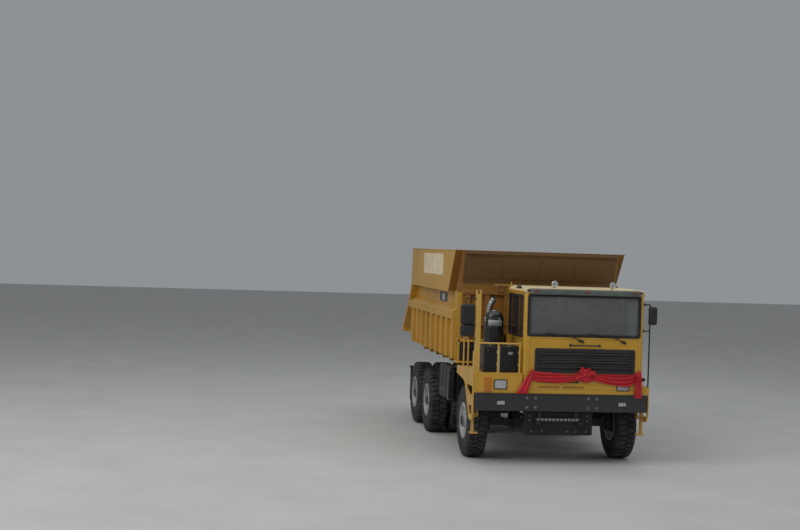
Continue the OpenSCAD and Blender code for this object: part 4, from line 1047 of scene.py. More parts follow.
g.tube([(1.500, -4.205, 2.480), (1.625, -4.205, 2.480)], 0.011, PLA, 12)
for z in (2.960, 2.480):
    g.box((1.499, -4.235, z - 0.03), (1.509, -4.175, z + 0.03), PLA, 0.002)
for z in (2.64, 2.87):
    g.box((1.608, -4.222, z - 0.016), (1.642, -4.188, z + 0.016), PLA, 0.004)
g.lathe([(0, 0), (0.030, 0), (0.030, 0.006), (0, 0.006)], (1.612, -4.205, 1.450), (0, 0, 1), 18, PLA, False)
g.obj("mirror_units", ["plastic", "mirror", "zinc"], "chassis", ["mirrors"])

# ---------------------------------------------------------------- deck and railing
g = Geo()
for x in (-1.546, -1.189, -0.794):
    g.box((x - 0.038, -4.2495, 1.660), (x + 0.038, -4.182, 1.668), 0, 0.002)
    for s in (-1, 1):
        g.bolt((x + s * 0.027, -4.198, 1.668), (0, 0, 1), 0.007, 0.006, 1)
        g.bolt((x + s * 0.027, -4.236, 1.668), (0, 0, 1), 0.007, 0.006, 1)
for y in (-3.56, -3.14):
    g.lathe([(0.017, 0), (0.036, 0), (0.036, 0.007), (0.017, 0.007), (0.017, 0)], (-1.612, y, 1.660), (0, 0, 1), 22, 0, False)
    g.ring((-1.612, y, 2.02), (0, 0, 1), 0.0165, 0.003, 2, 20, 6)
# weld beads where the rails meet
for x in (-1.189,):
    g.ring((x, -4.215, 2.178), (0, 0, 1), 0.0175, 0.0035, 0, 20, 6)
# corner post: sign of the folded seam, foot bolts and fork lips
g.box((-1.6235, -4.2265, 2.050), (-1.5285, -4.1385, 2.058), 0, 0.002)
for v in (1.75, 1.90, 2.00):
    g.bolt((-1.601, -4.2292, v), (0, -1, 0), 0.010, 0.008, 1)
for x in (-1.612, -1.540):
    g.box((x - 0.007, -4.227, 3.085), (x + 0.007, -4.138, 3.147), 0, 0.002)
# treadplate on the deck and the running board
for (x0, x1, y0, y1, z) in ((-1.600, -0.745, -4.165, -2.66, 1.660), (1.512, 1.612, -3.59, -2.66, 1.630), (1.512, 1.612, -4.215, -3.98, 1.450)):
    nx, ny = int((x1 - x0) / 0.034), int((y1 - y0) / 0.034)
    for i in range(nx):
        for j in range(ny):
            x, y = x0 + 0.017 + i * 0.034, y0 + 0.017 + j * 0.034
            dx, dy = (0.012, 0.0035) if (i + j) % 2 else (0.0035, 0.012)
            g.add([(x - dx, y, z - 0.0005), (x, y - dy, z - 0.0005), (x + dx, y, z - 0.0005), (x, y + dy, z - 0.0005),
                   (x - dx * 0.6, y, z + 0.0022), (x, y - dy * 0.6, z + 0.0022), (x + dx * 0.6, y, z + 0.0022), (x, y + dy * 0.6, z + 0.0022)],
                  [[3, 2, 1, 0], [4, 5, 6, 7], [0, 1, 5, 4], [1, 2, 6, 5], [2, 3, 7, 6], [3, 0, 4, 7]], 0, False)
# lip along the deck's front, seams and bolts of the fender panel
g.box((-1.640, -4.2545, 1.640), (-0.738, -4.238, 1.664), 0, 0.004)
g.slab(FRONT(-4.25), (-1.622, 1.352), (-1.618, 1.625), -0.002, 0.0010, 2, 0.0015, 0.0004)
for u in (-1.58, -0.90, -0.78):
    g.bolt((u, -4.2495, 1.345), (0, -1, 0), 0.009, 0.007, 1, turn=u)
# closing plate under the cab's side, over the left wing's low nose
g.box((1.462, -4.186, 1.42), (1.497, -3.56, 1.655), 0, 0.004)
for k in range(4):
    g.bolt((1.4975, -4.13 + 0.13 * k, 1.60), (1, 0, 0), 0.008, 0.006, 1, turn=k)
# kick plate along the deck's outer edge, rising towards the corner post
g.add([(x, y, z) for x in (-1.6395, -1.632) for y, z in ((-2.642, 1.659), (-4.128, 1.659), (-4.128, 1.748), (-2.642, 1.668))],
      [[0, 1, 2, 3], [7, 6, 5, 4], [0, 4, 5, 1], [1, 5, 6, 2], [2, 6, 7, 3], [3, 7, 4, 0]], 0, False)
# rolled edge of the wheel arches
ARCH = [(-2.640, 1.535), (-2.900, 1.512), (-3.380, 1.462), (-3.530, 1.385), (-3.640, 1.220), (-3.820, 0.980), (-3.930, 0.795)]
for sx in (-1, 1):
    g.tube([(sx * 1.6405, y, z) for y, z in ARCH], 0.0085, 0, 8)
    # foothold rims and their grip strips
    for hole in (((-4.190, 1.250), (-3.970, 1.250), (-3.700, 1.335), (-3.700, 1.415), (-4.190, 1.415)),
                 ((-4.190, 0.895), (-3.960, 0.895), (-3.880, 0.985), (-3.880, 1.060), (-4.190, 1.060))):
        g.tube([(sx * 1.6405, y, z) for y, z in hole + hole[:2]], 0.006, 0, 8)
    # pans behind the footholds
    for y0, y1, z0, z1 in ((-4.215, -3.745, 1.215, 1.440), (-4.052, -3.925, 0.862, 1.085)):
        a, b = sorted((sx * 1.494, sx * 1.504))
        g.box((a, y0, z0), (b, y1, z1), 0, 0.002)
    a, b = sorted((sx * 1.504, sx * 1.618))
    g.box((a, -4.050, 0.845), (b, -3.930, 0.862), 0, 0.002)
    for k in range(9):
        y = -4.045 + k * 0.0135
        a, b = sorted((sx * 1.500, sx * 1.618))
        g.box((a, y, 0.5655), (b, y + 0.005, 0.5705), 0, 0.001)
    for yy in (-4.045, -3.935):
        for zz in (0.60, 1.16):
            g.bolt((sx * 1.6005, yy, zz), (sx, 0, 0), 0.008, 0.006, 1, turn=zz)
g.obj("deck_fittings", ["yellow", "yellow", "black"], "chassis")

# ---------------------------------------------------------------- equipment cabinets
g = Geo()
BLK, CHR, PAL, RED, DRK = 0, 1, 2, 3, 4
for x0, x1 in ((-1.420, -1.155), (-1.110, -0.760)):
    P = FRONT(-4.06)
    g.surround(P, (x0 + 0.004, 1.668), (x1 - 0.004, 2.122), 0.020, -0.002, 0.010, BLK, 0.014, 0.003)
    g.slab(P, (x0 + 0.020, 1.684), (x1 - 0.020, 2.106), -0.002, 0.0015, DRK, 0.008, 0.001)
    for k in range(13):
        z = 1.703 + k * 0.0305
        g.box((x0 + 0.024, -4.0705, z), (x1 - 0.024, -4.0595, z + 0.017), BLK, 0.002, Matrix.Rotation(math.radians(-24), 3, "X"))
    mid = (x0 + x1) / 2
    g.box((mid - 0.0045, -4.074, 1.690), (mid + 0.0045, -4.066, 2.100), BLK, 0.0015)
    # lid with its folded edge, lifting eyes and latches
    g.box((x0 - 0.006, -4.066, 2.118), (x1 + 0.006, -3.344, 2.1335), BLK, 0.004)
    for y in (-3.95, -3.45):
        g.ring((mid, y, 2.146), (0, 1, 0), 0.016, 0.005, CHR, 20, 8)
    for z in (1.78, 2.00):
        g.box((x1 - 0.034, -4.080, z), (x1 - 0.014, -4.066, z + 0.050), CHR, 0.003)
        g.box((x1 - 0.030, -4.086, z + 0.010), (x1 - 0.018, -4.079, z + 0.034), CHR, 0.002)
    for z in (1.72, 1.90, 2.06):
        g.cyl((x0 + 0.002, -4.067, z - 0.024), (x0 + 0.002, -4.067, z + 0.024), 0.0065, BLK, 10)
    for y0 in (-3.98, -3.66):
        Q = RIGHT(x0)
        for k in range(9):
            z = 1.730 + k * 0.040
            g.slab(Q, (y0, z), (y0 + 0.25, z + 0.020), -0.001, 0.006, BLK, 0.009, 0.003)
# silver strip between the cabinets, blank labels on their faces
g.box((-1.146, -4.050, 1.662), (-1.118, -3.98, 2.115), CHR, 0.004)
for k in range(5):
    g.box((-1.144, -4.053, 1.70 + k * 0.085), (-1.120, -4.048, 1.745 + k * 0.085), PAL, 0.002)
g.slab(FRONT(-4.072), (-0.975, 1.985), (-0.895, 2.035), -0.001, 0.0015, PAL, 0.004, 0.0005)
for x, c in ((-1.385, RED), (-1.350, PAL), (-1.315, RED)):
    g.lathe([(0, 0), (0.009, 0), (0.009, 0.006), (0.006, 0.010), (0, 0.011)], (x, -4.0715, 2.060), (0, -1, 0), 16, c, True)
g.obj("cabinet_fittings", ["black", "zinc", "label", "lens_red", "frame"], "chassis")

# ---------------------------------------------------------------- air cleaner
g = Geo()
AX, AY = -1.150, -3.560
for z, h, r in ((2.16, 0.022, 0.1835), (2.43, 0.020, 0.1835), (2.600, 0.026, 0.1850)):
    g.lathe([(0.1805, 0), (r, 0.002), (r + 0.001, h * 0.5), (r, h - 0.002), (0.1805, h), (0.1805, 0)], (AX, AY, z), (0, 0, 1), 72, 0, True)
for k in range(4):
    t = math.radians(-70 + 90 * k)
    p = Vector((AX + 0.186 * math.cos(t), AY + 0.186 * math.sin(t), 2.58))
    R = Matrix.Rotation(t, 3, "Z")
    g.box((p.x - 0.008, p.y - 0.014, 2.555), (p.x + 0.012, p.y + 0.014, 2.635), 1, 0.003, R)
    g.box((p.x + 0.004, p.y - 0.009, 2.545), (p.x + 0.016, p.y + 0.009, 2.585), 1, 0.002, R)
g.lathe([(0, 0), (0.045, 0), (0.045, 0.006), (0.030, 0.010), (0.012, 0.013), (0, 0.013)], (AX, AY, 2.753), (0, 0, 1), 28, 1, True)
g.lathe([(0.120, -0.004), (0.126, 0.0), (0.121, 0.008), (0.114, 0.004), (0.120, -0.004)], (AX, AY, 2.722), (0, 0, 1), 60, 0, True)
for k in range(10):
    t = 2 * math.pi * k / 10
    a, b = Vector((AX + 0.045 * math.cos(t), AY + 0.045 * math.sin(t), 2.752)), Vector((AX + 0.108 * math.cos(t), AY + 0.108 * math.sin(t), 2.727))
    g.tube([a, (a + b) / 2 + Vector((0, 0, 0.005)), b], 0.0045, 0, 6)
# blank label round the front of the drum
n, a0, a1 = 24, math.radians(-90 - 46), math.radians(-90 + 40)
vs, fs = [], []
for r in (0.1815, 0.1838):
    for z in (2.482, 2.592):
        for i in range(n + 1):
            t = a0 + (a1 - a0) * i / n
            vs.append((AX + r * math.cos(t), AY + r * math.sin(t), z))
s = n + 1
for i in range(n):
    fs += [[i, i + 1, s + i + 1, s + i][::-1], [2 * s + i, 2 * s + i + 1, 3 * s + i + 1, 3 * s + i], [i, 2 * s + i, 2 * s + i + 1, i + 1], [s + i, s + i + 1, 3 * s + i + 1, 3 * s + i]]
fs += [[0, s, 3 * s, 2 * s], [n, s + n, 3 * s + n, 2 * s + n][::-1]]
g.add(vs, fs, 2, True)
# bracket, and the outlet duct into the cab side with its clamps
g.box((AX - 0.20, AY + 0.10, 2.135), (AX + 0.20, AY + 0.20, 2.150), 0, 0.003)
g.tube([(AX + 0.10, AY + 0.10, 2.30), (AX + 0.20, AY + 0.21, 2.30), (AX + 0.24, AY + 0.28, 2.24), (AX + 0.25, AY + 0.30, 2.10), (AX + 0.25, AY + 0.30, 1.664)], 0.058, 3, 20)
for z in (1.72, 2.02):
    g.ring((AX + 0.25, AY + 0.30, z), (0, 0, 1), 0.059, 0.0045, 1, 28, 6)
g.obj("air_cleaner_fittings", ["black", "zinc", "label", "hose"], "chassis")

# ---------------------------------------------------------------- exhaust
g = Geo()
EX, EY = -1.100, -3.000
g.lathe([(0, 0), (0.108, 0), (0.110, 0.004), (0.110, 0.05), (0.1065, 0.056), (0.1065, 0.28), (0.110, 0.286), (0.110, 0.30), (0.1065, 0.306), (0.1065, 0.53), (0.110, 0.536),
         (0.110, 0.570), (0.100, 0.582), (0.066, 0.590), (0, 0.590)], (EX, EY, 1.660), (0, 0, 1), 48, 0, True)
d = Vector((0.36, -0.36, 0.86)).normalized()
bend = Vector((EX - 0.030, EY, 2.790))
tip = bend + d * 0.215
path = [Vector((EX, EY, 2.24)), Vector((EX - 0.006, EY, 2.45)), Vector((EX - 0.020, EY, 2.62))]
for i in range(1, 8):
    t = i / 8
    path.append(Vector((EX - 0.023, EY, 2.66)).lerp(bend, t).lerp(bend.lerp(tip, 0.55 * t), t))
g.tube(path + [bend.lerp(tip, 0.60)], 0.0585, 0, 36)
g.lathe([(0.0585, -0.02), (0.0628, -0.014), (0.0628, 0.012), (0.0605, 0.016), (0.0605, 0.094), (0.0635, 0.097), (0.0635, 0.1035), (0.0560, 0.1035), (0.0545, 0.098),
         (0.0545, 0.020), (0, 0.016), (0, -0.02)], tip - d * 0.104, d, 40, 0, True, mats=[0, 0, 0, 0, 0, 0, 0, 1, 1, 1, 1])
for z in (2.30, 2.70):
    g.lathe([(0.058, 0), (0.0635, 0.001), (0.0635, 0.020), (0.058, 0.021), (0.058, 0)], (EX, EY, z), (0, 0, 1), 36, 0, True)
    g.box((EX - 0.082, EY - 0.010, z + 0.001), (EX - 0.060, EY + 0.010, z + 0.020), 0, 0.002)
    g.cyl((EX - 0.073, EY - 0.020, z + 0.0105), (EX - 0.073, EY + 0.020, z + 0.0105), 0.004, 2, 8)
# perforated guard round the muffler: wires and hoops
for k in range(20):
    t = math.radians(-180 + 9.5 * k + 90)
    x, y = EX + 0.1185 * math.cos(t - math.pi / 2), EY + 0.1185 * math.sin(t - math.pi / 2)
    g.tube([(x, y, 1.70), (x, y, 2.19)], 0.0022, 2, 6)
for z in (1.70, 1.86, 2.03, 2.19):
    g.ring((EX, EY, z), (0, 0, 1), 0.1185, 0.0028, 2, 48, 6)
g.obj("exhaust_unit", ["hot_steel", "black", "zinc"], "chassis", ["exhaust"])

# ---------------------------------------------------------------- hydraulic tank
g = Geo()
BLK, YEL, ZN, HOS, RED = 0, 1, 2, 3, 4
for y in (-2.600,):
    loops = []
    for inset, z in ((0.030, 1.745), (0.006, 1.752), (0.0, 1.775), (0.0, 2.075), (0.006, 2.098), (0.030, 2.105)):
        loops.append([(u, v, z) for u, v in rrect((-1.590 + inset, -2.600 + inset), (-0.960 - inset, -2.350 - inset), 0.045, 6)])
    n = len(loops[0])
    fs = [list(range(n))[::-1], [5 * n + k for k in range(n)]]
    for i in range(5):
        fs += [[i * n + k, i * n + (k + 1) % n, (i + 1) * n + (k + 1) % n, (i + 1) * n + k] for k in range(n)]
    g.add([p for loop in loops for p in loop], fs, BLK, [False, False] + [True] * (5 * n))
g.box((-1.640, -2.620, 1.700), (-0.940, -2.330, 1.7415), YEL, 0.004)
for x in (-1.640, -0.980):
    for y in (-2.620, -2.370):
        g.box((x, y, 1.740), (x + 0.040, y + 0.040, 2.150), YEL, 0.003)
    g.box((x, -2.620, 2.110), (x + 0.040, -2.330, 2.150), YEL, 0.003)
for y in (-2.620, -2.370):
    g.box((-1.640, y, 2.110), (-0.940, y + 0.040, 2.150), YEL, 0.003)
for x in (-1.62, -0.96):
    for z in (1.79, 2.06):
        g.bolt((x, -2.6205, z), (0, -1, 0), 0.010, 0.007, ZN)
g.lathe([(0, 0), (0.055, 0), (0.055, 0.018), (0.048, 0.024), (0.048, 0.034), (0.030, 0.040), (0, 0.040)], (-1.42, -2.475, 2.103), (0, 0, 1), 32, ZN, True)
g.box((-1.18, -2.607, 1.86), (-1.14, -2.597, 2.02), ZN, 0.003)
g.cyl((-1.16, -2.609, 1.875), (-1.16, -2.609, 2.005), 0.008, RED, 12)
for x in (-1.50, -1.06):
    g.box((x - 0.018, -2.606, 1.742), (x + 0.018, -2.345, 2.112), BLK, 0.002)
for k, x in enumerate((-1.36, -1.28, -1.10)):
    g.cyl((x, -2.475, 1.742), (x, -2.475, 1.700), 0.024, ZN, 14)
    g.tube([(x, -2.475, 1.74), (x + 0.01, -2.47, 1.64), (x + 0.08, -2.44, 1.54), (x + 0.30, -2.38, 1.47), (-0.62, -2.30 + 0.03 * k, 1.44), (-0.53, -2.24 + 0.03 * k, 1.40), (-0.515, -2.10 + 0.02 * k, 1.30 - 0.03 * k)], 0.019, HOS, 12)
g.slab(RIGHT(-1.64), (-2.50, 1.90), (-2.44, 1.96), -0.05, -0.044, RED, 0.006, 0.002)
g.obj("oil_tank_unit", ["black", "yellow", "zinc", "hose", "lens_red"], "chassis", ["hydraulic_tank"])

# ---------------------------------------------------------------- tanks, springs and pipes
g = Geo()
BLK, ZN, HOS, FRM, TNK = 0, 1, 2, 3, 4
for sx in (-1, 1):
    a, b = sorted((sx * 0.641, sx * 1.654))
    for y in (-1.78, -1.41, -1.04):
        g.surround(FRONT(y), (a, 0.896), (b, 1.564), 0.0055, -0.026, 0.026, BLK, 0.066, 0.001, 8)
        g.cyl((sx * 1.30, y - 0.02, 1.572), (sx * 1.30, y + 0.02, 1.572), 0.010, ZN, 12)
    g.lathe([(0, 0), (0.062, 0), (0.062, 0.030), (0.055, 0.038), (0.020, 0.042), (0, 0.042)], (sx * 1.45, -1.22, 1.558), (0, 0, 1), 36, ZN, True)
    for y in (-2.0, -0.82):
        s = -1 if y < -1.5 else 1
        loop = [(u, y + s * 0.0045, v) for u, v in rrect((a + 0.02, 0.918), (b - 0.02, 1.542), 0.055, 6)]
        g.tube(loop, 0.0045, BLK, 6, closed=True)
    g.slab((RIGHT if sx < 0 else LEFT)(sx * 1.65), (-1.30, 1.03), (-1.17, 1.10), -0.002, 0.001, TNK, 0.01, 0.0006)
# finned cooler ahead of the right tank
g.box((-1.700, -2.080, 0.942), (-1.592, -2.012, 1.508), TNK, 0.006)
for k in range(12):
    x = -1.696 + k * 0.0092
    g.box((x, -2.112, 0.955), (x + 0.0034, -2.078, 1.495), TNK, 0.0008)
g.box((-1.703, -2.116, 0.936), (-1.589, -2.008, 0.956), TNK, 0.004)
g.box((-1.703, -2.116, 1.494), (-1.589, -2.008, 1.514), TNK, 0.004)
g.tube([(-1.645, -2.05, 1.514), (-1.645, -2.05, 1.56), (-1.62, -2.10, 1.585), (-1.50, -2.2, 1.60), (-1.2, -2.28, 1.60), (-0.62, -2.28, 1.50), (-0.53, -2.20, 1.30)], 0.013, HOS, 10)
# air reservoirs on the rails, with straps, brackets and drain plugs
for sx in (-1, 1):
    for y0, z, r in ((-0.76, 1.18, 0.115),):
        g.lathe([(0, 0), (0.06, 0.004), (0.10, 0.022), (r, 0.055), (r, 0.395), (0.10, 0.428), (0.06, 0.446), (0, 0.45)], (sx * 0.64, y0, z), (0, 1, 0), 40, BLK, True)
        for y in (y0 + 0.10, y0 + 0.34):
            g.lathe([(r, 0), (r + 0.003, 0), (r + 0.003, 0.03), (r, 0.03), (r, 0)], (sx * 0.64, y, z), (0, 1, 0), 40, ZN, True)
            g.box((sx * 0.500 if sx > 0 else -0.56, y, z - 0.05), (sx * 0.56 if sx > 0 else -0.500, y + 0.03, z + 0.05), FRM, 0.003)
        g.lathe([(0, 0), (0.012, 0), (0.012, 0.03), (0, 0.03)], (sx * 0.64, y0 + 0.22, z - r + 0.002), (0, 0, -1), 12, ZN, False)
# U-bolts and clips of the front springs
for sx in (-1, 1):
    for y in (-3.215, -3.025):
        for x in (0.535, 0.645):
            g.cyl((sx * x, y, 0.54), (sx * x, y, 0.895), 0.010, FRM, 10)
            g.bolt((sx * x, y, 0.545), (0, 0, -1), 0.017, 0.018, FRM)
        a, b = sorted((sx * 0.535, sx * 0.645))
        g.cyl((a, y, 0.890), (b, y, 0.890), 0.011, FRM, 10)
    # splash guard behind the front wheel, its stiffening bars and bolts
    a, b = sorted((sx * 0.68, sx * 1.56))
    g.box((a, -2.300, 0.60), (b, -2.288, 1.56), BLK, 0.003)
    g.box((a, -2.312, 1.49), (b, -2.299, 1.55), FRM, 0.003)
    g.box((a, -2.308, 0.62), (b, -2.299, 0.65), FRM, 0.002)
    for k in range(5):
        g.bolt((sx * (0.74 + 0.19 * k), -2.312, 1.52), (0, -1, 0), 0.010, 0.008, ZN, turn=k)
    a, b = sorted((sx * 0.42, sx * 0.74))
    g.box((a, -2.287, 1.42), (b, -2.262, 1.50), FRM, 0.004)
    a, b = sorted((sx * 0.538, sx * 0.642))
    for y in (-3.55, -2.69):
        g.surround(FRONT(y), (a, 0.770), (b, 0.870), 0.006, -0.015, 0.015, FRM, 0.004, 0.001)
    g.box((a, -3.22, 0.864), (b, -3.02, 0.879), FRM, 0.004)
    # dampers and the springs' eyes
    g.cyl((sx * 0.70, -3.02, 0.60), (sx * 0.56, -2.70, 1.02), 0.032, BLK, 18)
    g.cyl((sx * 0.63, -2.86, 0.81), (sx * 0.52, -2.61, 1.14), 0.020, ZN, 14)
    for y in (-3.87, -2.37):
        a, b = sorted((sx * 0.535, sx * 0.645))
        g.cyl((a, y, 0.845), (b, y, 0.845), 0.034, FRM, 18)
        g.bolt((sx * 0.646, y, 0.845), (sx, 0, 0), 0.018, 0.014, ZN)
    # bogie: U-bolts over the pack, the trunnion's cap and the torque rods
    for y in (1.155, 1.405):
        for x in (0.636, 0.744):
            g.cyl((sx * x, y, 0.78), (sx * x, y, 1.175), 0.014, ZN, 10)
            g.bolt((sx * x, y, 0.782), (0, 0, -1), 0.022, 0.022, ZN)
        a, b = sorted((sx * 0.636, sx * 0.744))
        g.cyl((a, y, 1.172), (b, y, 1.172), 0.015, ZN, 10)
    a, b = sorted((sx * 0.630, sx * 0.750))
    g.box((a, 1.13, 1.160), (b, 1.43, 1.176), FRM, 0.004)
    g.lathe([(0, 0), (0.082, 0), (0.082, 0.012), (0.060, 0.024), (0.020, 0.028), (0, 0.028)], (sx * 0.735, 1.28, 1.08), (sx, 0, 0), 32, BLK, True)
    for k in range(6):
        t = math.radians(60 * k)
        g.bolt((sx * 0.747, 1.28 + 0.066 * math.cos(t), 1.08 + 0.066 * math.sin(t)), (sx, 0, 0), 0.008, 0.008, ZN)
    for y0, y1 in ((1.18, 0.56), (1.38, 2.00)):
        g.cyl((sx * 0.56, y0, 0.93), (sx * 0.56, y1, 0.60), 0.026, FRM, 16)
        for y, z in ((y0, 0.93), (y1, 0.60)):
            a, b = sorted((sx * 0.525, sx * 0.595))
            g.cyl((a, y, z), (b, y, z), 0.045, FRM, 20)
    # brake chambers and their hoses, and the drums' backing plates
    for y, s in ((0.48, -1), (2.08, 1)):
        c = Vector((sx * 0.48, y + s * 0.21, 0.74))
        g.lathe([(0, 0), (0.070, 0.004), (0.082, 0.020), (0.082, 0.070), (0.090, 0.074), (0.090, 0.090), (0.082, 0.094), (0.078, 0.180), (0.055, 0.200), (0, 0.204)], c, (sx, 0, 0), 30, BLK, True)
        g.cyl((sx * 0.68, y + s * 0.21, 0.74), (sx * 0.82, y + s * 0.20, 0.73), 0.014, ZN, 12)
        g.tube([c + Vector((0, 0, 0.08)), c + Vector((sx * 0.02, 0, 0.22)), c + Vector((-sx * 0.03, -s * 0.02, 0.38)), (sx * 0.41, y + s * 0.15, 1.22)], 0.010, HOS, 8)
        g.lathe([(0.117, 0), (0.235, 0), (0.245, 0.006), (0.235, 0.014), (0.117, 0.014), (0.117, 0)], (sx * 0.846, y, 0.67), (sx, 0, 0), 48, FRM, True)
    # pipes along the inside of the rails, and their clips
    for k, (z, r) in enumerate(((1.300, 0.011), (1.275, 0.008), (1.252, 0.008))):
        g.tube([(sx * 0.409, -3.9, z), (sx * 0.409, -2.1, z), (sx * 0.409, 0.9, z), (sx * 0.409, 2.6, z)], r, HOS, 8)
    for y in (-3.4, -2.2, -1.3, -0.3, 0.4, 1.9, 2.4):
        a, b = sorted((sx * 0.396, sx * 0.420))
        g.box((a, y, 1.236), (b, y + 0.02, 1.318), ZN, 0.001)
    # bolts of the crossmembers through the webs
    for y in (-1.96, -0.76, 1.16, 1.28, 1.40, 2.72):
        for z in (1.10, 1.18, 1.26):
            g.bolt((sx * 0.500, y, z), (sx, 0, 0), 0.012, 0.010, ZN, turn=y + z)
    # flaps behind the last wheels, on their bar
    a, b = sorted((sx * 0.50, sx * 1.70))
    g.box((a, 2.790, 1.150), (b, 2.830, 1.190), FRM, 0.004)
    a, b = sorted((sx * 0.90, sx * 1.68))
    g.box((a, 2.802, 0.42), (b, 2.812, 1.160), HOS, 0.003)
    for x in (0.98, 1.29, 1.60):
        g.bolt((sx * x, 2.8125, 1.120), (0, 1, 0), 0.010, 0.008, ZN)
# bolts of the differentials' covers, and the shafts' flanges with their bolts
for y in (0.48, 2.08):
    for k in range(12):
        t = math.radians(30 * k + 15)
        s = -1
        g.bolt((0.205 * math.cos(t), y - 0.152, 0.67 + 0.205 * math.sin(t)), (0, -1, 0), 0.010, 0.010, ZN)
for y, z in ((-2.76, 0.70), (0.12, 0.69), (0.84, 0.69), (1.72, 0.69)):
    g.lathe([(0, -0.02), (0.078, -0.02), (0.078, 0.02), (0, 0.02)], (0, y, z), (0, 1, 0), 32, FRM, False)
    for k in range(8):
        t = math.radians(45 * k)
        g.bolt((0.064 * math.cos(t), y - 0.02, z + 0.064 * math.sin(t)), (0, -1, 0), 0.007, 0.007, ZN)
g.obj("running_gear_fittings", ["black", "zinc", "hose", "frame", "tank"], "chassis")

# brake drums turning inside the rims
for sd, sg in (("left", 1), ("right", -1)):
    for ax in ("rear1", "rear2"):
        g = Geo()
        g.lathe([(0.150, 0.0), (0.262, 0.0), (0.268, 0.006), (0.268, 0.020), (0.262, 0.026), (0.262, 0.180), (0.250, 0.190), (0.122, 0.190), (0.122, 0.176), (0.240, 0.172), (0.250, 0.160),
                 (0.250, 0.012), (0.150, 0.010), (0.150, 0.0)], (sg * 0.878, AXLE[ax], TYRE_Z), (sg, 0, 0), 56, 0, True)
        g.obj("brake_drum_%s_%s" % (ax, sd), ["cast"], "wheels_%s_%s" % (ax, sd))

# ---------------------------------------------------------------- dump body
g = Geo()
PNT, DRK, LAB, PAL, ZN, ORG = 0, 1, 2, 3, 4, 5
for sx in (-1, 1):
    P = (RIGHT if sx < 0 else LEFT)(sx * 1.680)
    # bare pale plate on the upper board
    g.slab(P, (-1.00, 3.340), (1.36, 3.770), -0.002, 0.003, PAL, 0.012, 0.001)
    # folded edges of the upper board
    g.box((sx * 1.668, -1.62, 3.036) if sx > 0 else (-1.690, -1.62, 3.036), (1.690, 3.075, 3.056) if sx > 0 else (-1.668, 3.075, 3.056), PNT, 0.004)
    g.tube([(sx * 1.682, -2.335, 3.852), (sx * 1.682, 2.995, 3.852)], 0.008, PNT, 8)
    Q = (RIGHT if sx < 0 else LEFT)(sx * 1.535)
    # dark blank plate and a small pale sign on the recessed panel, and stiffener beads
    g.slab(Q, (-0.800, 2.795), (0.060, 2.985), -0.002, 0.004, DRK, 0.008, 0.001)
    g.slab(Q, (-0.560, 2.822), (-0.200, 2.958), 0.002, 0.0055, LAB, 0.006, 0.0008)
    for y in (-1.45, 0.65, 1.60, 2.45):
        g.slab(Q, (y - 0.045, 2.775), (y + 0.045, 3.035), -0.002, 0.012, PNT, 0.012, 0.006)
    # weld beads beside the ribs and along the rail
    for i in range(9):
        y = -2.250 + i * 0.612
        for yy in (y, y + 0.200):
            g.tube([(sx * 1.6135, yy, 1.765), (sx * 1.6135, yy, 2.505)], 0.0042, PNT, 6)
        for z in (1.835, 2.445):
            g.slab(P, (y + 0.03, z - 0.03), (y + 0.17, z + 0.03), -0.002, 0.0035, PNT, 0.01, 0.001)
    g.tube([(sx * 1.683, -2.24, 2.5165), (sx * 1.683, 3.32, 2.5165)], 0.0045, PNT, 6)
    # lifting eyes on the rail
    for y in (-1.9, 0.4, 2.4):
        g.lathe([(0.022, -0.009), (0.048, -0.009), (0.048, 0.009), (0.022, 0.009), (0.022, -0.009)], (sx * 1.640, y, 2.712), (0, 1, 0), 24, PNT, False)
    # hinge beams: collars and bolts
    for y in (2.9,):
        g.lathe([(0.047, 0), (0.086, 0), (0.086, 0.006), (0.047, 0.006), (0.047, 0)], (sx * 0.428, y, 1.35), (-sx, 0, 0), 40, PNT, False)
        for k in range(8):
            t = math.radians(45 * k)
            g.bolt((sx * 0.422, y + 0.068 * math.cos(t), 1.35 + 0.068 * math.sin(t)), (-sx, 0, 0), 0.007, 0.006, ZN)
# front wall: diagonal pressings between the stiffeners
for x0, x1 in ((-1.36, -1.06), (-0.98, -0.68), (-0.60, -0.30), (-0.22, 0.22), (0.30, 0.60), (0.68, 0.98), (1.06, 1.36)):
    for z0, z1 in ((1.88, 2.38), (2.46, 2.96)):
        if x0 == -0.22:
            continue
        g.slab(FRONT(-2.25), (x0 + 0.03, z0), (x1 - 0.03, z1), -0.002, 0.008, ORG, 0.030, 0.006)
g.box((-1.502, -2.326, 2.410), (1.502, -2.249, 2.440), ORG, 0.006)
for x in (-1.40, -1.02, -0.64, -0.26, 0.26, 0.64, 1.02, 1.40):
    for z in (3.045, 1.795):
        g.bolt((x, -2.3205, z), (0, -1, 0), 0.012, 0.010, ZN, turn=x)
# leaning guard: shallow pressings and its rim
dy, dz = -0.20, 0.62
L = math.hypot(dy, dz)


def LEAN(u, v, d):
    return (u, -2.25 + dy * v / L - d * dz / L, 3.24 + dz * v / L + d * dy / L * -1)


for x0 in (-1.42, -0.70, 0.02, 0.74):
    g.slab(lambda u, v, d: (u, -2.25 + dy * v / L - d * dz / L, 3.24 + dz * v / L - d * -dy / L), (x0, 0.075), (x0 + 0.66, 0.54), -0.002, 0.009, 6, 0.03, 0.006)
g.tube([(-1.505, -2.486, 3.851), (1.505, -2.486, 3.851)], 0.008, 6, 8)
# hoist's upper pin with its caps
g.cyl((-0.124, -2.58, 2.45), (-0.1105, -2.58, 2.45), 0.052, ZN, 28)
g.cyl((0.1105, -2.58, 2.45), (0.124, -2.58, 2.45), 0.052, ZN, 28)
g.obj("body_fittings", ["body_yellow", "dark_label", "label", "pale_plate", "body_orange", "body_orange", "canopy"], "dump_body")

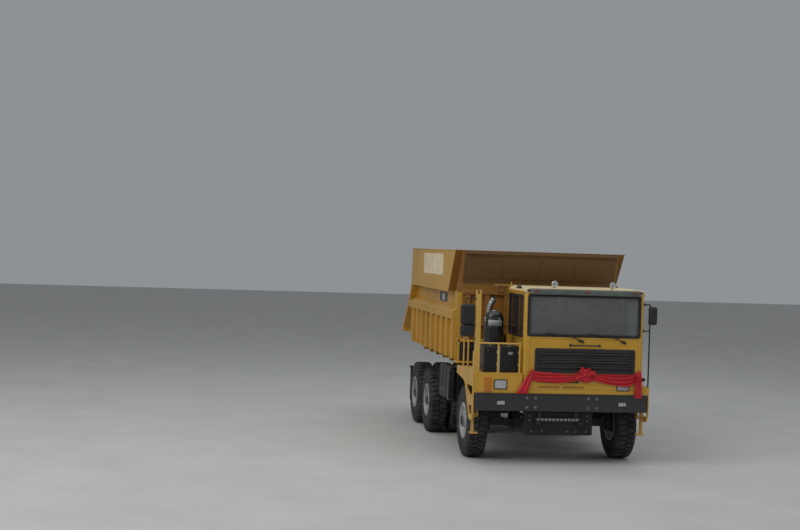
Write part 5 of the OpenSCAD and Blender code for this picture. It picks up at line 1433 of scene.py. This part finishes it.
# hoist: wiper rings, hose and the lower pivot's collars
up = Vector((0, 0.067667, 0.997708))
foot = Vector((0, -2.678342, 1.0))
g = Geo()
g.lathe([(0.107, 0), (0.138, 0.0), (0.142, 0.006), (0.142, 0.020), (0.136, 0.030), (0.107, 0.030), (0.107, 0)], foot + up * 1.270, up, 48, 0, True)
for h in (0.20, 0.62, 1.02):
    g.lathe([(0.124, 0), (0.128, 0.003), (0.128, 0.021), (0.124, 0.024), (0.124, 0)], foot + up * h, up, 44, 0, True)
g.cyl(foot + up * 0.25 + Vector((0.12, 0, 0)), foot + up * 0.25 + Vector((0.165, 0, 0)), 0.020, 1, 14)
g.obj("hoist_fittings", ["charcoal", "zinc"], "hoist_barrel")
for k, (r, h) in enumerate(((0.104, 1.305), (0.084, 1.330), (0.064, 1.355))):
    g = Geo()
    inner = (0.0865, 0.0665, 0.0485)[k]
    g.lathe([(inner, -0.016), (r - 0.002, -0.016), (r - 0.001, -0.010), (r - 0.001, 0.002), (r - 0.005, 0.006), (inner, 0.006), (inner, -0.016)], foot + up * h, up, 44, 0, True)
    g.obj("hoist_seal_%d" % (k + 1), ["charcoal"], "hoist_stage_%d" % (k + 1))

# ---------------------------------------------------------------- door
g = Geo()
YEL, SEA, PLA, ZN = 0, 1, 2, 3
P = LEFT(1.504)
g.surround(P, (-4.060, 2.312), (-3.282, 3.008), 0.040, -0.012, 0.007, SEA, 0.06, 0.004)
g.surround(P, (-4.098, 1.760), (-3.252, 2.262), 0.014, -0.001, 0.005, YEL, 0.05, 0.002)
g.slab(P, (-4.04, 1.83), (-3.31, 2.09), -0.001, 0.006, YEL, 0.05, 0.004)
g.surround(P, (-3.356, 2.168), (-3.236, 2.222), 0.010, -0.001, 0.0035, PLA, 0.012, 0.001)
for z in (1.90, 2.55, 2.92):
    g.cyl((1.507, -4.121, z - 0.045), (1.507, -4.121, z + 0.045), 0.007, PLA, 16)
    g.box((1.503, -4.118, z - 0.034), (1.511, -4.075, z + 0.034), PLA, 0.002)
# inner trim: armrest, pull, window winder's panel
R = lambda u, v, d: (1.460 - d, u, v)
g.slab(R, (-4.06, 1.79), (-3.30, 2.25), -0.001, 0.012, PLA, 0.05, 0.004)
g.box((1.410, -3.80, 2.16), (1.450, -3.42, 2.20), PLA, 0.012)
g.tube([(1.448, -4.02, 2.22), (1.425, -4.02, 2.25), (1.425, -4.02, 2.52), (1.448, -4.02, 2.55)], 0.010, PLA, 10)
g.obj("door_fittings", ["yellow", "seal", "plastic", "zinc"], "door")

# ---------------------------------------------------------------- cab inside
def cushion(name, c, size, crown, mat, turn=None, seams=(), n=14):
    """A crowned, rounded cushion with a piped edge; c is its middle, size its half sizes."""
    hx, hy, hz = size
    vs, fs = [], []
    row = []
    side = 6
    def P(u, v):
        # u, v in -1..1, a squircle outline with the top crowned and pulled in at the seams
        e = 4.0
        m = max(abs(u), abs(v))
        if m < 1e-6:
            return 0.0, 0.0, 1.0
        q = (abs(u) ** e + abs(v) ** e) ** (1 / e)
        k = m / q * (1.0 - 0.0)
        return u * k, v * k, m
    for top in (1, -1):
        for j in range(n + 1):
            for i in range(n + 1):
                u, v = -1 + 2 * i / n, -1 + 2 * j / n
                a, b, m = P(u, v)
                edge = (1 - max(0.0, (m - 0.62) / 0.38) ** 2.4) ** 0.5
                pull = 0.0
                for s_axis, s_at, s_depth in seams:
                    w = (a if s_axis == "u" else b) - s_at
                    pull += s_depth * math.exp(-(w / 0.07) ** 2)
                z = hz * 0.42 + (hz * 0.58 + crown * (1 - a * a) * (1 - b * b) - (pull if top > 0 else 0)) * edge if top > 0 else -(hz * 0.42 + hz * 0.58 * edge)
                s = 1.0 - 0.05 * (1 - edge)
                vs.append(Vector((a * hx * s, b * hy * s, z)))
    o = (n + 1) ** 2
    for j in range(n):
        for i in range(n):
            a = j * (n + 1) + i
            fs.append([a, a + 1, a + n + 2, a + n + 1])
            fs.append([o + a, o + a + n + 1, o + a + n + 2, o + a + 1])
    ring = [i for i in range(n + 1)] + [j * (n + 1) + n for j in range(1, n + 1)] + [n * (n + 1) + i for i in range(n - 1, -1, -1)] + [j * (n + 1) for j in range(n - 1, 0, -1)]
    for k in range(len(ring)):
        a, b = ring[k], ring[(k + 1) % len(ring)]
        fs.append([a, o + a, o + b, b])
    T = turn or Matrix.Identity(3)
    g = Geo()
    g.add([Vector(c) + T @ p for p in vs], fs, 0, True)
    edge_pts = []
    for k in ring:
        p, q = vs[k], vs[o + k]
        edge_pts.append(Vector(c) + T @ (p.lerp(q, 0.12) * 1.004))
    g.tube(edge_pts, 0.0045, 1, 6, closed=True)
    ob = g.obj(name, [mat, "seat_side"], "chassis")
    return ob


g = Geo()
BLK, ZN, FRM = 0, 1, 2
for x in (0.880, -0.140):
    g.box((x - 0.178, -3.558, 1.7055), (x + 0.178, -3.222, 1.735), FRM, 0.006)
    for k in range(7):
        z0 = 1.735 + k * 0.030
        e = 0.016 if k % 2 else 0.0
        g.box((x - 0.165 + e, -3.545 + e, z0), (x + 0.165 - e, -3.235 - e, z0 + 0.030), BLK, 0.012)
    g.box((x - 0.215, -3.600, 1.945), (x + 0.215, -3.170, 1.972), FRM, 0.006)
    g.box((x + 0.190, -3.50, 1.86), (x + 0.225, -3.28, 1.96), BLK, 0.008)
    g.tube([(x - 0.05, -3.095, 2.74), (x - 0.05, -3.095, 2.80)], 0.007, ZN, 8)
    g.tube([(x + 0.05, -3.095, 2.74), (x + 0.05, -3.095, 2.80)], 0.007, ZN, 8)
    g.cyl((x + 0.255, -3.205, 2.10), (x + 0.275, -3.205, 2.10), 0.028, BLK, 18)
    # seat belt reel
    g.box((x - 0.262, -3.24, 1.98), (x - 0.248, -3.19, 2.05), BLK, 0.003)
g.obj("seat_bases", ["plastic", "zinc", "frame"], "chassis", ["seats"])
for tag, x in (("driver", 0.880), ("mate", -0.140)):
    cushion("seat_cushion_" + tag, (x, -3.390, 2.025), (0.245, 0.245, 0.052), 0.018, "seat", None, (("u", -0.62, 0.012), ("u", 0.62, 0.012), ("v", 0.25, 0.010)))
    lean = Matrix.Rotation(math.radians(90 - 9.0), 3, "X")
    cushion("seat_back_" + tag, (x, -3.155, 2.415), (0.235, 0.325, 0.050), 0.016, "seat", lean, (("u", -0.60, 0.012), ("u", 0.60, 0.012), ("v", 0.35, 0.010), ("v", -0.25, 0.010)))
    cushion("headrest_" + tag, (x, -3.100, 2.850), (0.125, 0.078, 0.040), 0.010, "seat", lean, (), 10)

# steering wheel: grips, spokes, boss and column shroud
g = Geo()
T = Matrix.Rotation(math.radians(-30), 3, "X")
C = Vector((0.880, -3.730, 2.370))
def S(x, y, z):
    return C + T @ Vector((x, y, z))
ax = T @ Vector((0, 0, 1))
g.ring(C, ax, 0.215, 0.0155, 0, 64, 12)
for a in (90, 210, 330):
    t = math.radians(a)
    u, w = Vector((math.cos(t), math.sin(t), 0)), Vector((-math.sin(t), math.cos(t), 0))
    vs = []
    for r, h, k in ((0.045, -0.018, 0.020), (0.120, -0.012, 0.013), (0.208, -0.002, 0.015)):
        for dz in (-0.005, 0.005):
            for sgn in (-1, 1):
                vs.append(C + T @ (u * r + w * (sgn * k) + Vector((0, 0, h + dz))))
    fs = []
    for i in (0, 4):
        fs += [[i, i + 1, i + 5, i + 4], [i + 2, i + 6, i + 7, i + 3], [i, i + 4, i + 6, i + 2], [i + 1, i + 3, i + 7, i + 5]]
    fs += [[0, 2, 3, 1], [8, 9, 11, 10]]
    g.add(vs, fs, 0, False)
g.lathe([(0, -0.030), (0.050, -0.030), (0.060, -0.015), (0.058, 0.004), (0.040, 0.012), (0, 0.014)], C, ax, 36, 0, True)
g.lathe([(0, -0.225), (0.028, -0.225), (0.030, -0.12), (0.040, -0.09), (0.040, -0.034), (0, -0.034)], C, ax, 24, 0, True)
for s in (-1, 1):
    g.tube([S(s * 0.03, 0, -0.07), S(s * 0.10, 0.01, -0.068), S(s * 0.165, 0.015, -0.060)], 0.0075, 0, 8, r_end=0.010)
g.obj("steering_wheel_unit", ["plastic"], "chassis", ["steering_wheel"])

# dashboard fittings, levers, pedals, headliner, pillars' light poles and a rear shelf
g = Geo()
PLA, DSH, GLS, ZN, LIN, LAM = 0, 1, 2, 3, 4, 5
g.box((0.64, -4.045, 2.300), (1.12, -3.905, 2.372), DSH, 0.020, Matrix.Rotation(math.radians(-14), 3, "X"))
for x, r in ((0.76, 0.045), (0.88, 0.055), (1.00, 0.045)):
    g.lathe([(0, 0), (r, 0), (r, 0.010), (r * 0.88, 0.010), (r * 0.84, 0.004), (0, 0.004)], (x, -3.90, 2.335), (0, 0.96, 0.28), 28, PLA, True)
    g.lathe([(0, 0.004), (r * 0.82, 0.004), (r * 0.82, 0.006), (0, 0.006)], (x, -3.90, 2.335), (0, 0.96, 0.28), 28, GLS, True)
for k in range(8):
    g.box((-0.12 + k * 0.075, -3.842, 2.208), (-0.07 + k * 0.075, -3.826, 2.236), PLA, 0.003)
for x in (-0.52, 0.30, 1.28):
    g.slab(lambda u, v, d: (u, -3.818 + d * 0.9, v), (x - 0.07, 2.215), (x + 0.07, 2.275), -0.02, 0.004, PLA, 0.010, 0.002)
g.box((-0.45, -3.845, 2.06), (0.02, -3.815, 2.165), DSH, 0.008, Matrix.Rotation(math.radians(-32), 3, "X"))
g.tube([(0.45, -3.56, 1.705), (0.45, -3.57, 1.95), (0.44, -3.62, 2.10), (0.44, -3.64, 2.18)], 0.011, ZN, 12)
g.lathe([(0, 0), (0.020, 0.006), (0.027, 0.030), (0.020, 0.052), (0, 0.058)], (0.44, -3.645, 2.165), (0, 0, 1), 20, PLA, True)
g.lathe([(0, 0), (0.075, 0), (0.060, 0.03), (0.045, 0.055), (0.020, 0.09), (0, 0.09)], (0.45, -3.56, 1.705), (0, 0, 1), 24, PLA, True)
for x in (0.74, 0.90, 1.04):
    g.box((x - 0.035, -3.925, 1.84), (x + 0.035, -3.905, 1.93), PLA, 0.004, Matrix.Rotation(math.radians(25), 3, "X"))
    g.tube([(x, -3.92, 1.86), (x, -3.945, 1.98)], 0.009, ZN, 8)
g.box((0.18, -3.62, 1.706), (0.60, -3.20, 1.93), PLA, 0.02)
g.slab(lambda u, v, d: (u, v, 3.168 - d), (-0.60, -4.08), (1.365, -2.98), -0.002, 0.010, LIN, 0.06, 0.006)
for x in (0.10, 0.88):
    g.slab(lambda u, v, d: (u, -4.165 + d, v), (x - 0.24, 2.985), (x + 0.24, 3.110), -0.002, 0.014, LIN, 0.02, 0.004)
for x in (-0.655, 1.425):
    g.box((x - 0.016, -4.185, 2.36), (x + 0.016, -4.160, 3.10), LIN, 0.006)
g.box((0.352, -2.925, 2.45), (0.448, -2.905, 3.00), LIN, 0.006)
for z in (2.52, 2.62, 2.72, 2.82):
    g.box((0.385, -2.9285, z), (0.415, -2.9225, z + 0.05), LAM, 0.002)
g.box((-0.60, -2.97, 2.20), (1.38, -2.905, 2.235), LIN, 0.01)
g.obj("cab_inside", ["plastic", "dash", "chrome", "zinc", "liner", "lens_amber"], "chassis")

# ---------------------------------------------------------------- ribbon
def cloth(name, top, bottom, folds, depth, y0, nu=48, nv=22, seed=0.0, sag=0.0, thick=0.0022):
    """A strip of cloth between two edges, in folds along its length. Returns the piece."""
    def along(pts, t):
        L = [0.0]
        for a, b in zip(pts, pts[1:]):
            L.append(L[-1] + math.dist(a, b))
        s = t * L[-1]
        for i in range(len(pts) - 1):
            if s <= L[i + 1] or i == len(pts) - 2:
                q = (s - L[i]) / max(L[i + 1] - L[i], 1e-9)
                return [p + (r - p) * q for p, r in zip(pts[i], pts[i + 1])]
    def smooth(pts, n=30):
        out = []
        for i in range(n + 1):
            t = i / n
            acc = [0.0, 0.0]
            wsum = 0.0
            for k in range(-2, 3):
                tt = min(1, max(0, t + k * 0.045))
                w = 3 - abs(k)
                p = along(pts, tt)
                acc = [a + w * c for a, c in zip(acc, p)]
                wsum += w
            out.append([a / wsum for a in acc])
        out[0], out[-1] = list(pts[0]), list(pts[-1])
        return out
    top, bottom = smooth(top), smooth(bottom)
    grid = []
    for i in range(nu + 1):
        u = i / nu
        a, b = along(top, u), along(bottom, u)
        pin = 1 - 0.75 * math.exp(-(u / 0.10) ** 2) - 0.75 * math.exp(-((1 - u) / 0.10) ** 2)
        col = []
        for j in range(nv + 1):
            v = j / nv
            ph = folds * 2 * math.pi * (v + 0.06 * math.sin(5.1 * u + seed)) + seed
            wob = 0.35 * math.sin(2.3 * ph * 0.5 + 9 * u + seed * 2)
            y = y0 - depth * (0.5 + 0.5 * math.sin(ph) + 0.25 * wob) * pin - 0.004 * math.sin(6 * u + seed)
            squeeze = 0.010 * math.cos(ph) * pin
            col.append(Vector((a[0] + (b[0] - a[0]) * v, y, a[1] + (b[1] - a[1]) * v - sag * math.sin(math.pi * u) * (0.3 + 0.7 * v) + squeeze)))
        grid.append(col)
    for i in range(nu):
        for j in range(nv):
            p, q, r, s = grid[i][j], grid[i + 1][j], grid[i + 1][j + 1], grid[i][j + 1]
    vs, fs = [], []
    def normal(i, j):
        du = grid[min(i + 1, nu)][j] - grid[max(i - 1, 0)][j]
        dv = grid[i][min(j + 1, nv)] - grid[i][max(j - 1, 0)]
        n = du.cross(dv)
        return n.normalized() if n.length > 1e-12 else Vector((0, -1, 0))
    for s in (0.5, -0.5):
        for i in range(nu + 1):
            for j in range(nv + 1):
                vs.append(grid[i][j] + normal(i, j) * (thick * s))
    o = (nu + 1) * (nv + 1)
    for i in range(nu):
        for j in range(nv):
            a = i * (nv + 1) + j
            fs.append([a, a + 1, a + nv + 2, a + nv + 1])
            fs.append([o + a, o + a + nv + 1, o + a + nv + 2, o + a + 1])
    ring = [j for j in range(nv + 1)] + [i * (nv + 1) + nv for i in range(1, nu + 1)] + [nu * (nv + 1) + j for j in range(nv - 1, -1, -1)] + [i * (nv + 1) for i in range(nu - 1, 0, -1)]
    for k in range(len(ring)):
        a, b = ring[k], ring[(k + 1) % len(ring)]
        fs.append([a, b, o + b, o + a])
    g = Geo()
    g.add(vs, fs, 0, True)
    ob = g.obj(name, ["ribbon"], "chassis")
    return ob


parts = [
    cloth("ribbon_swag_right", [(0.300, 1.650), (0.231, 1.665), (-0.123, 1.674), (-0.513, 1.696), (-0.590, 1.735)],
          [(0.300, 1.575), (0.235, 1.547), (-0.117, 1.495), (-0.462, 1.500), (-0.600, 1.560)], 3.0, 0.026, -4.270, seed=0.7),
    cloth("ribbon_swag_left", [(0.520, 1.650), (0.605, 1.681), (1.075, 1.671), (1.339, 1.690), (1.400, 1.730)],
          [(0.520, 1.575), (0.628, 1.554), (0.894, 1.480), (1.250, 1.450), (1.390, 1.560)], 3.0, 0.026, -4.270, seed=2.1),
    cloth("ribbon_tail_right", [(-0.520, 1.715), (-0.565, 1.570), (-0.610, 1.430), (-0.640, 1.305)],
          [(-0.600, 1.720), (-0.690, 1.600), (-0.790, 1.430), (-0.858, 1.300)], 2.0, 0.022, -4.288, nv=16, seed=4.0),
    cloth("ribbon_tail_left", [(1.470, 1.730), (1.472, 1.560), (1.478, 1.380), (1.488, 1.245)],
          [(1.372, 1.722), (1.358, 1.560), (1.350, 1.380), (1.346, 1.252)], 2.0, 0.022, -4.288, nv=16, seed=1.2)]
# bow: loops of ribbon standing out round a knot
BC = Vector((0.418, -4.282, 1.655))
loops = []
for k in range(10):
    a = 2 * math.pi * k / 10 + (0.20, -0.10, 0.28, 0.02, -0.16)[k % 5]
    R = (0.196, 0.160, 0.182, 0.150, 0.176)[k % 5] * math.sqrt(math.cos(a) ** 2 + 0.50 * math.sin(a) ** 2)
    loops.append((a, R, 0.060 + 0.010 * (k % 3), (k * 7 % 5) * 0.006))
for k in range(7):
    a = 2 * math.pi * k / 7 + (0.5, 0.3, 0.7)[k % 3]
    loops.append((a, (0.110, 0.092, 0.125)[k % 3], 0.046, 0.020 + 0.004 * (k % 2)))
vs, fs = [], []
area, longest = 0.0, 0.0
for a, R, hw, lift in loops:
    d = Vector((math.cos(a), 0, math.sin(a)))
    w = Vector((-math.sin(a), 0, math.cos(a)))
    line = []
    for i in range(17):
        t = i / 16
        s = math.sin(math.pi * t)
        out = R * (s ** 0.8)
        up_ = -0.020 + 0.040 * (0.5 - 0.5 * math.cos(math.pi * t)) * 1.0
        line.append(BC + d * out * 0.97 + Vector((0, -(up_ + lift * 0.5) * (0.4 + 0.6 * s) - 0.006, 0)))
    rows = []
    for i, p in enumerate(line):
        t = i / 16
        s = math.sin(math.pi * t)
        ww = hw * (0.30 + 0.70 * s)
        rows.append([p + w * (ww * c) + Vector((0, -0.013 * math.cos(c * 3.4 + 5.0 * a) * s, 0)) + d * (0.012 * math.sin(c * 3.0 + 7.0 * a) * s) for c in (-1, -0.6, -0.2, 0.2, 0.6, 1)])
    o = len(vs)
    m = 6
    for s_ in (0.5, -0.5):
        for i, row in enumerate(rows):
            t0, t1 = rows[max(i - 1, 0)][2], rows[min(i + 1, 16)][2]
            nn = (t1 - t0).cross(w)
            nn = nn.normalized() if nn.length > 1e-9 else Vector((0, -1, 0))
            vs += [q + nn * (0.0020 * s_) for q in row]
    h = 17 * m
    for i in range(16):
        for j in range(m - 1):
            q = o + i * m + j
            fs.append([q, q + 1, q + m + 1, q + m])
            fs.append([h + q, h + q + m, h + q + m + 1, h + q + 1])
        q = o + i * m
        fs.append([q, q + m, h + q + m, h + q])
        q = o + i * m + m - 1
        fs.append([q, h + q, h + q + m, q + m])
    fs.append([o + j for j in range(m)] + [o + h + j for j in range(m - 1, -1, -1)])
    fs.append([o + 16 * m + j for j in range(m)][::-1] + [o + h + 16 * m + j for j in range(m)])
    for i in range(16):
        for j in range(m - 1):
            p, q, r, s = rows[i][j], rows[i + 1][j], rows[i + 1][j + 1], rows[i][j + 1]
            area += (q - p).cross(r - p).length / 2 + (r - p).cross(s - p).length / 2
g = Geo()
g.add(vs, fs, 0, True)
bow = g.obj("ribbon_bow", ["ribbon"], "chassis")
g = Geo()
g.lathe([(0, 0.0), (0.026, 0.004), (0.036, 0.014), (0.030, 0.026), (0, 0.032)], BC + Vector((0, -0.010, 0)), (0, -1, 0), 24, 0, True)
for x, z in ((-0.565, 1.716), (1.425, 1.722)):
    g.lathe([(0, 0.0), (0.026, 0.004), (0.034, 0.016), (0.026, 0.030), (0, 0.036)], (x, -4.262, z), (0, -1, 0), 20, 0, True)
g.obj("ribbon_knots", ["ribbon"], "chassis", ["ribbon"])

# ---------------------------------------------------------------- stage and light
floor = bpy.data.meshes.new("floor")
floor.from_pydata([(-60, -60, 0), (60, -60, 0), (60, 90, 0), (-60, 90, 0)], [], [[0, 1, 2, 3]])
m = Nodes("floor")
m.set(Base_Color=m.ramp(m.noise(0.6, 6.0, 0.6), [(0.3, (0.50, 0.50, 0.485)), (0.7, (0.56, 0.56, 0.545))]), Roughness=0.9)
floor.materials.append(m.mat)
floor_ob = bpy.data.objects.new("floor", floor)
scene.collection.objects.link(floor_ob)

world = bpy.data.worlds.new("world")
scene.world = world
world.use_nodes = True
bg = world.node_tree.nodes["Background"]
bg.inputs["Color"].default_value = (0.80, 0.84, 0.88, 1)
bg.inputs["Strength"].default_value = 0.34


def area(name, at, to, size, power, colour=(1, 1, 1)):
    d = bpy.data.lights.new(name, "AREA")
    d.shape = "RECTANGLE"
    d.size, d.size_y = size
    d.energy = power
    d.color = colour
    o = bpy.data.objects.new(name, d)
    scene.collection.objects.link(o)
    o.location = at
    o.rotation_euler = (Vector(to) - Vector(at)).to_track_quat("-Z", "Y").to_euler()
    return o


area("key", (-17, -13, 15), (0, 0, 1.5), (16, 12), 1850, (1.0, 0.97, 0.92))
area("sky", (0, -2, 19), (0, 0, 0), (22, 22), 1380, (0.95, 0.98, 1.0))
area("fill", (16, -16, 9), (0, -1, 1.5), (12, 10), 330, (0.95, 0.98, 1.0))
scene.view_settings.view_transform = "Standard"
scene.view_settings.look = "None"
